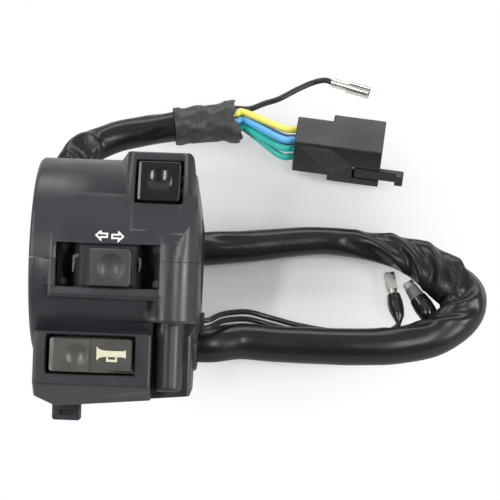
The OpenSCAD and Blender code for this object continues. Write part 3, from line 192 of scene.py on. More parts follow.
class ClusterHarness(bpy.types.PropertyGroup):
    """Sleeve, tape, wires and leads."""

    sleeve: length("Sleeve", "Diameter of the harness sleeve", 0.0092)
    wire: length("Wires", "Diameter of the coloured wires", 0.0019)
    lead: length("Black lead", "Diameter of the single black lead", 0.0016)
    thin: length("Thin leads", "Diameter of the two thin leads", 0.0014)
    vinyl: colour("Sleeve vinyl", "Glossy black sleeve", (0.007, 0.007, 0.0075))
    tape: colour("Tape", "Black wrapping tape", (0.034, 0.034, 0.035))
    cover: colour("Black cover", "Cover of the black leads", (0.012, 0.012, 0.013))
    yellow: colour("Yellow wire", "Cover of the yellow wire", linear(246, 232, 96))
    sky: colour("Sky blue wire", "Cover of the sky blue wire", linear(98, 180, 238))
    blue: colour("Blue wire", "Cover of the dark blue wire", linear(30, 70, 150))
    green: colour("Green wires", "Cover of the two blue green wires", linear(46, 196, 180))
    violet: colour("Violet wire", "Cover of the dark violet wire", linear(45, 45, 110))
    nylon: colour("Connector nylon", "Black nylon of the connector", (0.013, 0.013, 0.014))


class ClusterStage(bpy.types.PropertyGroup):
    """Floor, lamps and camera."""

    floor: colour("Floor", "Pale table", (0.66, 0.66, 0.657))
    key_power: power("Top lamps", "Power of the two softboxes over the object", 0.8)
    side_power: power("Side lamps", "Power of the softboxes at the left and right", 1.2)
    back_power: power("Back lamp", "Power of the softbox behind", 1.9)
    panel_power: power("Panel", "Power of the wide panel overhead", 0.5)
    sky: bpy.props.FloatProperty(name="Room light", description="Strength of the room's light", default=0.3, min=0)
    lens: bpy.props.FloatProperty(name="Lens", description="Focal length in millimetres", default=136.1, min=10)


def tilted(points, degrees):
    """Points turned about the x axis: y' = y cos - z sin, z' = y sin + z cos."""
    a = math.radians(degrees)
    x, y, z = np.moveaxis(np.asarray(points, float), -1, 0)
    return np.stack([x, y * math.cos(a) - z * math.sin(a), y * math.sin(a) + z * math.cos(a)], -1)


def from_case(points):
    """The case's own frame, laid back on the table."""
    return tilted(points, CASE_TILT)


def from_pod(points):
    """The dimmer pod's tilted frame."""
    return from_case(tilted(points, -POD_TILT))


def from_rocker(points):
    """The rocker's frame: the pod's, tipped about the rocker's pin."""
    return from_pod(tilted(np.asarray(points, float) - ROCKER_PIVOT, ROCKER_TIP) + ROCKER_PIVOT)


def from_connector(points):
    """The connector's frame: rolled, yawed and set on the table."""
    x, y, z = np.moveaxis(tilted(points, CONN_ROLL), -1, 0)
    a = math.radians(CONN_YAW)
    return np.stack([x * math.cos(a) - y * math.sin(a), x * math.sin(a) + y * math.cos(a), z], -1) + CONN_POS


def on_table(points):
    """Points given as x, y and height over the table."""
    return np.asarray(points, float) + [0, 0, TABLE]


def terminal_line(place):
    """Three points that run straight into a terminal: two behind its mouth and one inside."""
    (x, y, h), yaw, inside = place
    a = math.radians(yaw)
    return on_table([[x + d * math.cos(a), y + d * math.sin(a), h] for d in (-2, 0, inside)])


def smooth_path(points, step):
    """A curve through the points, each span a cubic whose end slopes are half the chord of its neighbours,
    taken again at even steps of arc length."""
    p = np.asarray(points, float)
    e = np.vstack([2 * p[0] - p[1], p, 2 * p[-1] - p[-2]])
    t = np.linspace(0, len(p) - 1, (len(p) - 1) * SPAN_STEPS + 1)
    i = np.minimum(t.astype(int), len(p) - 2)
    f = (t - i)[:, None]
    a, b, c, d = e[i], e[i + 1], e[i + 2], e[i + 3]
    q = 0.5 * (2 * b + (c - a) * f + (2 * a - 5 * b + 4 * c - d) * f ** 2 + (3 * b - a - 3 * c + d) * f ** 3)
    s = np.concatenate([[0], np.cumsum(np.linalg.norm(np.diff(q, axis=0), axis=1))])
    k = np.linspace(0, s[-1], int(s[-1] / step) + 1)
    return np.stack([np.interp(k, s, q[:, j]) for j in range(3)], -1), k


def tube(path, radius, sides):
    """Rings round a path: centre + r (side cos v + up sin v), where side is level and to the left of the path.
    The radius is one number or an array of rings by sides."""
    t = np.gradient(path, axis=0)
    t /= np.linalg.norm(t, axis=1, keepdims=True)
    side = np.cross(UP, t)
    side /= np.linalg.norm(side, axis=1, keepdims=True)
    up = np.cross(t, side)
    v = np.linspace(0, 2 * np.pi, sides, endpoint=False)
    r = np.broadcast_to(radius, (len(path), sides))[..., None]
    spoke = side[:, None] * np.cos(v)[None, :, None] + up[:, None] * np.sin(v)[None, :, None]
    return path[:, None] + r * spoke


def coil(centre, radius, wire, turns, low, high):
    """Rings round a helix: (cx + r cos t, cy + r sin t, low + w/2 + (high - low - w) t / (2 pi turns))."""
    t = np.linspace(0, 2 * np.pi * turns, turns * 24 + 1)
    rise = low + wire / 2 + (high - low - wire) * t / t[-1]
    path = np.stack([centre[0] + radius * np.cos(t), centre[1] + radius * np.sin(t), rise], -1)
    return tube(path, wire / 2, 12)


def add_object(name, mesh):
    """Links a mesh into the scene."""
    obj = bpy.data.objects.new(name, mesh)
    bpy.context.scene.collection.objects.link(obj)
    return obj


def smooth_shade(mesh, degrees):
    """Smooth shading that breaks at edges sharper than the angle."""
    mesh.polygons.foreach_set("use_smooth", np.ones(len(mesh.polygons), bool))
    mesh.set_sharp_from_angle(angle=math.radians(degrees))


def grid_piece(name, grid, ends=True, outward=True, degrees=40):
    """A piece from an array of rings by points, in mm, closed round each ring, with or without its two ends.
    Its UV map runs along the rings and round them, in metres."""
    n, m = grid.shape[:2]
    i, j = np.meshgrid(np.arange(n - 1), np.arange(m), indexing="ij")
    k = (j + 1) % m
    faces = np.stack([i * m + j, i * m + k, (i + 1) * m + k, (i + 1) * m + j], -1).reshape(-1, 4).tolist()
    if ends:
        faces += [list(range(m))[::-1], list(range((n - 1) * m, n * m))]
    mesh = bpy.data.meshes.new(name)
    mesh.from_pydata((grid.reshape(-1, 3) * MM).tolist(), [], faces)
    along = np.concatenate([[0], np.cumsum(np.linalg.norm(np.diff(grid.mean(1), axis=0), axis=1))]) * MM
    around = np.linalg.norm(grid - grid.mean(1, keepdims=True), axis=2).mean() * 2 * np.pi * MM / m
    quads = np.stack([
        along[np.stack([i, i, i + 1, i + 1], -1)], around * np.stack([j, j + 1, j + 1, j], -1)], -1).reshape(-1)
    flat = np.zeros(len(mesh.loops) * 2)
    flat[:len(quads)] = quads
    mesh.uv_layers.new(name="UVMap").data.foreach_set("uv", flat)
    if outward:
        reworked(mesh, turn_outwards)
    smooth_shade(mesh, degrees)
    return add_object(name, mesh)


def reworked(mesh, *changes):
    """Makes changes to a mesh, in order."""
    work = bmesh.new()
    work.from_mesh(mesh)
    for change in changes:
        change(work)
    work.to_mesh(mesh)
    work.free()


def turn_outwards(work):
    """Turns the faces of a closed mesh outwards."""
    bmesh.ops.recalc_face_normals(work, faces=work.faces)


def merge_points(work):
    """Merges points that lie on each other."""
    bmesh.ops.remove_doubles(work, verts=work.verts, dist=SAME_POINT)


def join_level(work):
    """Joins level triangles into whole faces."""
    bmesh.ops.dissolve_limit(work, angle_limit=math.radians(LEVEL_ANGLE), verts=work.verts, edges=work.edges)


def rounded_outline(corners, radii, steps):
    """Arcs of a convex outline with round corners, counter-clockwise: centre, outward direction and radius of each
    point. A point at inset d is centre + (radius - d) direction."""
    c = np.asarray(corners, float)
    r = np.broadcast_to(np.asarray(radii, float), len(c))
    edge = np.roll(c, -1, 0) - c
    edge /= np.linalg.norm(edge, axis=1, keepdims=True)
    after = np.stack([edge[:, 1], -edge[:, 0]], -1)
    before = np.roll(after, 1, 0)
    dot = (before * after).sum(1)
    centre = c - r[:, None] * (before + after) / (1 + dot)[:, None]
    turn = np.arctan2(before[:, 0] * after[:, 1] - before[:, 1] * after[:, 0], dot)
    a = np.arctan2(before[:, 1], before[:, 0])[:, None] + turn[:, None] * np.linspace(0, 1, steps)
    way = np.stack([np.cos(a), np.sin(a)], -1).reshape(-1, 2)
    return np.repeat(centre, steps, 0), way, np.repeat(r, steps)


def end_rounds(low, high, low_round, high_round, steps=6):
    """Insets and heights of a form whose two ends are rounded by quarter circles."""
    a = np.linspace(0, np.pi / 2, steps)
    bottom = np.stack([low_round * (1 - np.sin(a)), low + low_round * (1 - np.cos(a))], -1)
    top = np.stack([high_round * (1 - np.cos(a)), high - high_round * (1 - np.sin(a))], -1)
    return np.vstack([bottom if low_round else bottom[:1], top if high_round else top[-1:]])


def rounded_form(name, corners, radii, layers, axis, place, steps=7):
    """A convex outline carried along an axis: at each layer the outline is inset and stands at a height.
    The outline is drawn in (x, y) for axis z, in (y, z) for axis x and in (z, x) for axis y."""
    centre, way, r = rounded_outline(corners, radii, steps)
    plan = centre + (r - layers[:, :1])[..., None] * way
    height = np.broadcast_to(layers[:, 1:], plan.shape[:2])
    a, b = plan[..., 0], plan[..., 1]
    order = {"z": (a, b, height), "x": (height, a, b), "y": (b, height, a)}[axis]
    return grid_piece(name, place(np.stack(order, -1)))


def rectangle(x0, y0, x1, y1):
    """Corners of a rectangle, counter-clockwise."""
    return [[x0, y0], [x1, y0], [x1, y1], [x0, y1]]


def rod(name, centre, radius, low, high, low_round, high_round, axis, place):
    """A round rod with rounded ends."""
    a, b = centre
    corners = rectangle(a - radius, b - radius, a + radius, b + radius)
    return rounded_form(name, corners, radius, end_rounds(low, high, low_round, high_round), axis, place, 18)


def ball(name, centre, radius, place):
    """A sphere: centre + r (sin u cos v, sin u sin v, cos u)."""
    u = np.linspace(0.02, np.pi - 0.02, 60)[:, None]
    v = np.linspace(0, 2 * np.pi, 96, endpoint=False)[None]
    grid = np.stack([np.sin(u) * np.cos(v), np.sin(u) * np.sin(v), np.cos(u) + 0 * v], -1)
    return grid_piece(name, place(np.asarray(centre) + radius * grid))


def dimple_ball(name, centre, depth_level, radius, depth, place):
    """The ball that leaves a dimple of that radius and depth in a level face."""
    r = (radius ** 2 + depth ** 2) / (2 * depth)
    return ball(name, [centre[0], centre[1], depth_level + r - depth], r, place)


def carved(name, start, steps):
    """Joins, cuts or keeps the common part of closed forms, in order, and returns one new piece."""
    for how, tool in steps:
        change = start.modifiers.new(how, "BOOLEAN")
        change.operation = how
        change.solver = "MANIFOLD"
        change.object = tool
    bpy.context.view_layer.update()
    mesh = bpy.data.meshes.new_from_object(start.evaluated_get(bpy.context.evaluated_depsgraph_get()))
    mesh.name = name
    for used in [start] + [tool for how, tool in steps]:
        bpy.data.objects.remove(used, do_unlink=True)
    return add_object(name, mesh)


def joined(name, forms):
    """The union of closed forms."""
    return carved(name, forms[0], [("UNION", f) for f in forms[1:]])


def node_copy(node):
    """A closed copy of a frame node's mesh, with its loose triangles merged."""
    mesh = frame["nodes"][node].data.copy()
    reworked(mesh, merge_points)
    mesh.materials.clear()
    return add_object(node + "_copy", mesh)


def settle(piece, material, body, nodes=(), degrees=30):
    """Joins a carved piece's level triangles into whole faces, so that they shade as one, and gives it its shading,
    material, body and the frame nodes that it stands for."""
    reworked(piece.data, join_level)
    smooth_shade(piece.data, degrees)
    even = piece.modifiers.new("even", "WEIGHTED_NORMAL")
    even.mode = "FACE_AREA"
    even.keep_sharp = True
    return dress(piece, material, body, nodes)


def dress(piece, material, body, nodes=()):
    """Gives a piece its material, body and the frame nodes that it stands for."""
    paint(piece, material)
    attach(piece, body)
    if nodes:
        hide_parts(*nodes)
    return piece


def add_node(tree, kind, values=None, **settings):
    """Adds a node, changes its settings and then sets the values of its inputs."""
    node = tree.nodes.new("ShaderNode" + kind)
    for setting, choice in settings.items():
        setattr(node, setting, choice)
    return set_inputs(node, values or {})


def set_inputs(node, values):
    """Sets values of a node's inputs by name."""
    for socket, value in values.items():
        node.inputs[socket].default_value = value
    return node


def connect(tree, *links):
    """Connects nodes, each link given as a node, its output, another node and its input."""
    for source, out, target, socket in links:
        tree.links.new(source.outputs[out], target.inputs[socket])


def paint(holder, material):
    """Gives an object one material."""
    holder.data.materials.clear()
    holder.data.materials.append(material)


def surface(name, base, rough, grain, depth, mottle=0.15, spread=0.08, metal=0.0, coat=0.0, coat_rough=0.1,
            specular=0.5, coords="Object", stretch=(1, 1, 1), see=0.0):
    """A finish: its colour and roughness drift over patches, and a fine grain raises it.
    grain is the size of the grain and depth its height, both in metres."""
    material = bpy.data.materials.new(name)
    material.use_nodes = True
    tree = material.node_tree
    shader = set_inputs(tree.nodes["Principled BSDF"], {
        "Metallic": metal, "Coat Weight": coat, "Coat Roughness": coat_rough, "Specular IOR Level": specular,
        "Transmission Weight": see})
    where = add_node(tree, "TexCoord")
    place = add_node(tree, "Mapping", {"Scale": stretch})
    patches = add_node(tree, "TexNoise", {"Scale": 0.06 / grain, "Detail": 4})
    fine = add_node(tree, "TexNoise", {"Scale": 1 / grain, "Detail": 2})
    tint = add_node(tree, "Mix", {
        "A": (*[c * (1 - mottle) for c in base], 1), "B": (*[min(c * (1 + mottle), 1) for c in base], 1)},
        data_type="RGBA")
    gloss = add_node(tree, "MapRange", {
        "From Min": 0.3, "From Max": 0.7, "To Min": max(rough - spread, 0.02), "To Max": min(rough + spread, 1)})
    bump = add_node(tree, "Bump", {"Strength": 1, "Distance": depth})
    connect(tree, (where, coords, place, "Vector"), (place, "Vector", patches, "Vector"),
            (place, "Vector", fine, "Vector"), (patches, "Fac", tint, "Factor"), (patches, "Fac", gloss, "Value"),
            (tint, "Result", shader, "Base Color"), (gloss, "Result", shader, "Roughness"),
            (fine, "Fac", bump, "Height"), (bump, "Normal", shader, "Normal"))
    return material


def floor_finish(base):
    """The table: it takes shadows near the object and fades to white around it."""
    material = bpy.data.materials.new("pale table")
    material.use_nodes = True
    tree = material.node_tree
    shader = set_inputs(tree.nodes["Principled BSDF"], {
        "Base Color": (*base, 1), "Roughness": 0.9, "Specular IOR Level": 0.1})
    where = add_node(tree, "TexCoord")
    place = add_node(tree, "Mapping", {"Location": (-0.034, -0.022, 0), "Scale": (1, 1.1, 1)})
    far = add_node(tree, "VectorMath", operation="LENGTH")
    fade = add_node(tree, "MapRange", {"From Min": 0.026, "From Max": 0.064}, interpolation_type="SMOOTHSTEP")
    seen = add_node(tree, "LightPath")
    amount = add_node(tree, "Math", operation="MULTIPLY")
    white = add_node(tree, "Emission")
    mix = add_node(tree, "MixShader")
    connect(tree, (where, "Object", place, "Vector"), (place, "Vector", far, 0), (far, "Value", fade, "Value"),
            (seen, "Is Camera Ray", amount, 0), (fade, "Result", amount, 1), (amount, "Value", mix, "Fac"),
            (shader, "BSDF", mix, 1), (white, "Emission", mix, 2),
            (mix, "Shader", tree.nodes["Material Output"], "Surface"))
    return material


def softbox(name, place, aim, size, watts):
    """A rectangular lamp that faces a point, its long side along the case's y axis."""
    lamp = bpy.data.lights.new(name, "AREA")
    lamp.shape = "RECTANGLE"
    lamp.size, lamp.size_y = size
    lamp.energy = watts
    out = (Vector(place) - Vector(aim)).normalized()
    along = Vector(from_case([0, 1, 0]))
    along = (along - out * along.dot(out)).normalized()
    across = out.cross(along)
    obj = bpy.data.objects.new(name, lamp)
    obj.matrix_world = Matrix.Translation(place) @ Matrix((along, across, out)).transposed().to_4x4()
    bpy.context.scene.collection.objects.link(obj)


def room_light(strength):
    """A bright room whose light falls off from the horizon to the zenith."""
    room = bpy.data.worlds.new("room")
    room.use_nodes = True
    tree = room.node_tree
    where = add_node(tree, "TexCoord")
    parts = add_node(tree, "SeparateXYZ")
    fall = add_node(tree, "MapRange", {
        "From Min": 0.2, "From Max": 0.85, "To Min": strength, "To Max": strength * 0.18})
    back = set_inputs(tree.nodes["Background"], {"Color": (1, 1, 1, 1)})
    connect(tree, (where, "Generated", parts, "Vector"), (parts, "Z", fall, "Value"),
            (fall, "Result", back, "Strength"))
    return room


class CLUSTER_OT_stage(bpy.types.Operator):
    """Makes the camera, the pale table, the softboxes and the room's light"""

    bl_idname = "cluster.stage"
    bl_label = "Stage"

    def execute(self, context):
        stage = context.scene.cluster_stage
        camera = bpy.data.objects.new("camera", bpy.data.cameras.new("camera"))
        camera.data.lens = stage.lens
        camera.data.sensor_width = SENSOR
        camera.data.clip_start = 0.01
        camera.matrix_world = (Matrix.Translation(CAMERA_PLACE)
                               @ Matrix.Rotation(math.radians(CAMERA_TILT), 4, "X")
                               @ Matrix.Rotation(math.radians(CAMERA_ROLL), 4, "Z"))
        context.scene.collection.objects.link(camera)
        context.scene.camera = camera
        span = np.linspace(-TABLE_HALF, TABLE_HALF, 5)
        u, v = np.meshgrid(span, span, indexing="ij")
        mesh = bpy.data.meshes.new("table")
        i, j = np.meshgrid(np.arange(4), np.arange(4), indexing="ij")
        faces = np.stack([i * 5 + j, (i + 1) * 5 + j, (i + 1) * 5 + j + 1, i * 5 + j + 1], -1).reshape(-1, 4)
        points = np.stack([u, v, np.full_like(u, TABLE * MM - TABLE_DROP)], -1).reshape(-1, 3)
        mesh.from_pydata(points.tolist(), [], faces.tolist())
        mesh.materials.append(floor_finish(stage.floor))
        add_object("table", mesh)
        for name, (place, aim, size, setting, share) in LAMPS.items():
            softbox(name, place, aim, size, getattr(stage, setting) * share)
        context.scene.world = room_light(stage.sky)
        context.scene.view_settings.view_transform = "Standard"
        return {"FINISHED"}


def fold_depth(along, angle, folds):
    """Depth of creases on a sleeve. Each crease is a line from (s1, a1) to (s2, a2) on the unrolled sleeve; at a
    distance d from it the skin goes in by depth exp(-(d/w)^2) and stands up by a third of that at 1.7 w."""
    s1, a1, s2, a2, depth, wide = folds.T
    y1, y2 = np.radians(a1) * FOLD_R, np.radians(a2) * FOLD_R
    ds, dy = s2 - s1, y2 - y1
    p = along[:, None, None] - s1
    q = angle[None, :, None] * FOLD_R - y1
    t = np.clip((p * ds + q * dy) / (ds ** 2 + dy ** 2), 0, 1)
    d = np.hypot(p - t * ds, q - t * dy) / wide
    taper = 0.35 + 0.65 * np.sin(np.pi * t)
    return (depth * taper * (np.exp(-d ** 2) - 0.36 * np.exp(-((d - 1.7) / 0.8) ** 2))).sum(-1)


def sleeve_form():
    """Path and skin of the harness sleeve: a tube whose radius drifts along it, swells at the crumpled bend and
    is creased there, is dented at the kink behind the case and rests flat on the table."""
    path, s = smooth_path(np.vstack([from_case(SLEEVE_START), on_table(SLEEVE_ROUTE)]), 0.45)
    sides = 72
    v = np.linspace(0, 2 * np.pi, sides, endpoint=False)
    near = lambda x, y: s[np.argmin(np.hypot(path[:, 0] - x, path[:, 1] - y))]
    bend, kink = near(88.4, 4.2), near(-14.5, 45.2)
    knots = [0, near(60, -11.7), bend - 20, bend - 4, bend + 8, bend + 18, bend + 28, near(52, 19.4), near(34, 17.4),
             near(16, 15.4), kink, near(0.5, 52), s[-1]]
    base = np.interp(s, knots, [4.6, 4.75, 4.9, 5.2, 5.0, 4.3, 3.75, 3.6, 4.1, 4.5, 4.4, 4.1, 4.0])[:, None]
    base = base + 2.8 * np.exp(-((s - bend - 7) / 15) ** 2)[:, None] * np.clip(np.cos(v - 0.25), 0, 1) ** 2
    base = base + 0.1 * np.sin(2 * np.pi * s / 27)[:, None] * np.cos(v + 0.6)
    base = base + 0.02 * np.sin(2 * np.pi * s / 11 + 1)[:, None]
    rng = np.random.default_rng(7)
    count = 24
    begin = rng.uniform(bend + 62, s[-1], count)
    start_angle = rng.uniform(0, 170, count)
    small = np.stack([
        begin, start_angle, begin + rng.uniform(5, 16, count), start_angle + rng.uniform(-45, 45, count),
        rng.uniform(0.12, 0.34, count), rng.uniform(0.9, 1.8, count)], -1)
    depth = fold_depth(s - bend, v, BEND_FOLDS) + fold_depth(s, v, small)
    ends = np.clip(s / 12, 0, 1) * np.clip((s[-1] - s) / 14, 0, 1)
    ring = np.hypot(s[:, None] - kink + 1, (v - 1.75) * 4.4)
    hollow = 1.3 * np.exp(-(ring / 2.4) ** 2) - 0.7 * np.exp(-((ring - 4.2) / 1.1) ** 2)
    radius = np.clip(base - depth * ends[:, None] - hollow, 3.3, 7.8)
    skin = tube(path, radius, sides)
    skin[..., 2] = np.maximum(skin[..., 2], TABLE + RESTING)
    return path, skin


class CLUSTER_OT_harness_sleeve(bpy.types.Operator):
    """Makes the sleeve that holds the wires, from the outlet round the loop to the tape"""

    bl_idname = "cluster.harness_sleeve"
    bl_label = "Harness Sleeve"

    def execute(self, context):
        made = context.scene.cluster_harness
        path, skin = sleeve_form()
        sleeve = grid_piece("sleeve", skin, degrees=70)
        vinyl = surface("sleeve vinyl", made.vinyl, 0.34, 0.0016, 0.00004, mottle=0.2, spread=0.06, coat=0.1,
                        coat_rough=0.2, specular=0.38, coords="UV", stretch=(0.5, 1, 1))
        dress(sleeve, vinyl, "case", ["harness_sleeve"])
        context.scene["sleeve_path"] = (path * MM).ravel().tolist()
        return {"FINISHED"}


class CLUSTER_OT_sleeve_tape(bpy.types.Operator):
    """Makes the wrapped tape at the end of the sleeve, with a ragged open end"""

    bl_idname = "cluster.sleeve_tape"
    bl_label = "Sleeve Tape"

    def execute(self, context):
        made = context.scene.cluster_harness
        u = np.linspace(0, 1, 90)[:, None]
        v = np.linspace(0, 2 * np.pi, 84, endpoint=False)[None]
        reach = (16.6 + 0.5 * np.sin(2 * v + 0.4) + 0.35 * np.sin(5 * v + 1) + 0.25 * np.sin(9 * v)
                 + 1.3 * np.exp(-((np.cos(v + 0.45) + 1) / 0.25) ** 2))
        along = u * reach - 15.2
        wrap = np.mod(along / 6.5 + v / (2 * np.pi), 1)
        step = 0.2 * wrap ** 3
        crease = (0.22 * np.sin(1.1 * along + 3 * np.sin(v)) * np.sin(3 * v + 0.3 * along)
                  + 0.1 * np.sin(7 * v + 0.9 * along))
        flare = np.clip((along + 5) / 6.5, 0, 1) ** 1.5
        wide = 4.75 + step + crease + 1.35 * flare
        tall = 4.75 + step + crease - 0.05 * flare
        grid = (SLEEVE_END + along[..., None] * FAN_DIR + (wide * np.cos(v))[..., None] * FAN_SIDE
                + (tall * np.sin(v))[..., None] * UP)
        grid[..., 2] = np.maximum(grid[..., 2], TABLE + 0.05)
        tape = grid_piece("tape", grid, ends=False, outward=False, degrees=60)
        reworked(tape.data, turn_outwards)
        wall = tape.modifiers.new("wall", "SOLIDIFY")
        wall.thickness = 0.00025
        wall.offset = 1
        vinyl = surface("tape vinyl", made.tape, 0.42, 0.0008, 0.00006, mottle=0.25, coords="UV")
        dress(tape, vinyl, "case", ["sleeve_tape"])
        return {"FINISHED"}


class CLUSTER_OT_fan_wires(bpy.types.Operator):
    """Makes the six coloured wires from the tape into the connector"""

    bl_idname = "cluster.fan_wires"
    bl_label = "Coloured Wires"

    def execute(self, context):
        made = context.scene.cluster_harness
        covers = {"wire_yellow": made.yellow, "wire_sky": made.sky, "wire_blue": made.blue,
                  "wire_green_a": made.green, "wire_green_b": made.green, "wire_violet": made.violet}
        for name, (side, up, col, row) in FAN_WIRES.items():
            root = SLEEVE_END + side * FAN_SIDE + up * UP
            ways = np.vstack([
                [root + d * FAN_DIR for d in (-4, 0.2, 2.2, 4.2)],
                from_connector([[-4, col, row], [-0.2, col, row], [3, col, row]])])
            path = smooth_path(ways, 0.25)[0]
            wire = grid_piece(name + "_cover", tube(path, made.wire / MM / 2, 20), degrees=60)
            cover = surface(name + " cover", covers[name], 0.32, 0.0006, 0.000008, mottle=0.06, coat=0.15, coords="UV")
            dress(wire, cover, "case", [name])
        return {"FINISHED"}


class CLUSTER_OT_loose_leads(bpy.types.Operator):
    """Makes the black lead that runs into its terminal and the two thin leads inside the loop, with boots on the thin
    leads
    """

    bl_idname = "cluster.loose_leads"
    bl_label = "Loose Leads"

    def execute(self, context):
        made = context.scene.cluster_harness
        cover = surface("black lead cover", made.cover, 0.36, 0.0005, 0.000008, mottle=0.2, coords="UV")
        root = SLEEVE_END + 3 * FAN_SIDE + 1.6 * UP
        black = np.vstack([[root + d * FAN_DIR for d in (-3, 0.2, 2.2)], on_table(BLACK_ROUTE),
                           terminal_line(BLACK_TERMINAL)])
        thin = lambda start, route, end: np.vstack([from_case(start), on_table(route), terminal_line(end)])
        thin_a = thin(THIN_START_A, THIN_ROUTE_A, THIN_TERMINAL_A)
        thin_b = thin(THIN_START_B, THIN_ROUTE_B, THIN_TERMINAL_B)
        ends = {"black_lead": (black, made.lead, ["black_terminal"]),
                "thin_lead_a": (thin_a, made.thin, ["thin_terminal_a"]),
                "thin_lead_b": (thin_b, made.thin, ["thin_terminal_b"])}
        nodes = frame["nodes"]
        gloss = surface("boot vinyl", made.cover, 0.26, 0.0008, 0.00002, mottle=0.2, coat=0.2, coords="UV")
        smoky = surface("smoky vinyl", (0.3, 0.3, 0.31), 0.2, 0.001, 0.00001, mottle=0.05, see=0.5)
        boots = {
            "thin_lead_a": [
                ("boot_a", -9, -0.6, [0.75, 1.6, 2.0, 2.0, 1.7], gloss, "boot_black", "rubber_black")],
            "thin_lead_b": [
                ("boot_b", -9.5, 0.6, [0.75, 1.9, 2.5, 2.6, 2.3], gloss, "boot_clear", "rubber_black"),
                ("boot_b_collar", -0.4, 4.4, [2.35, 2.1, 1.9, 1.8, 1.7], smoky, "boot_clear", "clear_pvc")]}
        for name, (ways, wide, pieces) in ends.items():
            path, s = smooth_path(ways, 0.3)
            lead = grid_piece(name + "_cover", tube(path, wide / MM / 2, 18), degrees=60)
            dress(lead, cover, "case", [name])
            ahead = path[-1] - path[-2]
            longer = np.vstack([path, path[-1] + ahead / np.linalg.norm(ahead) * np.arange(0.3, 6, 0.3)[:, None]])
            reach = np.concatenate([[0], np.cumsum(np.linalg.norm(np.diff(longer, axis=0), axis=1))]) - s[-1]
            for boot, start, end, radii, finish, node, slot in boots.get(name, []):
                run = longer[(reach >= start) & (reach <= end)]
                thick = np.interp(np.linspace(0, 1, len(run)), np.linspace(0, 1, len(radii)), radii)
                skin = tube(run, thick[:, None], 28)
                skin[..., 2] = np.maximum(skin[..., 2], TABLE + RESTING)
                dress(grid_piece(boot, skin, degrees=60), finish, "case", [node])
        route = np.array(context.scene["sleeve_path"]).reshape(-1, 3)
        del context.scene["sleeve_path"]
        reach = np.linalg.norm(np.diff(route, axis=0), axis=1).sum()
        on_sleeve = [bpy.data.objects[n + "_cover"] for n in FAN_WIRES] + [bpy.data.objects["tape"]]
        on_sleeve += [bpy.data.objects["connector_shell"], nodes["connector_latch"], nodes["connector_pins"]]
        return {"FINISHED"}


def swapped(corners):
    """An outline drawn in (x, z), turned into the (z, x) order of the y axis."""
    return [[z, x] for x, z in corners[::-1]]


def barrel_form():
    """The drum round the bar: the profile r(x) has round ends of 1.2 and 9 mm and is turned about the bar; its
    back is pressed flat, z = back + (w + sqrt(w^2 + k^2)) / 2 with w the height over the back."""
    r, low, high = BARREL_R - SKIN, LEFT_X + SKIN, RIGHT_X - SKIN
    a = np.linspace(0, np.pi / 2, 16)
    x = np.concatenate([[low], low + 1.2 - 1.2 * np.cos(a), high - 9 + 9 * np.sin(a), [high]])
    out = np.concatenate([[0.05], r - 1.2 + 1.2 * np.sin(a), r - 9 + 9 * np.cos(a), [0.05]])
    v = np.linspace(0, 2 * np.pi, 240, endpoint=False)
    y, z = out[:, None] * np.cos(v), out[:, None] * np.sin(v)
    w = z - BACK_Z - SKIN
    z = BACK_Z + SKIN + (w + np.sqrt(w ** 2 + 0.3)) / 2
    return grid_piece("barrel_form", from_case(np.stack([np.broadcast_to(x[:, None], y.shape), y, z], -1)))


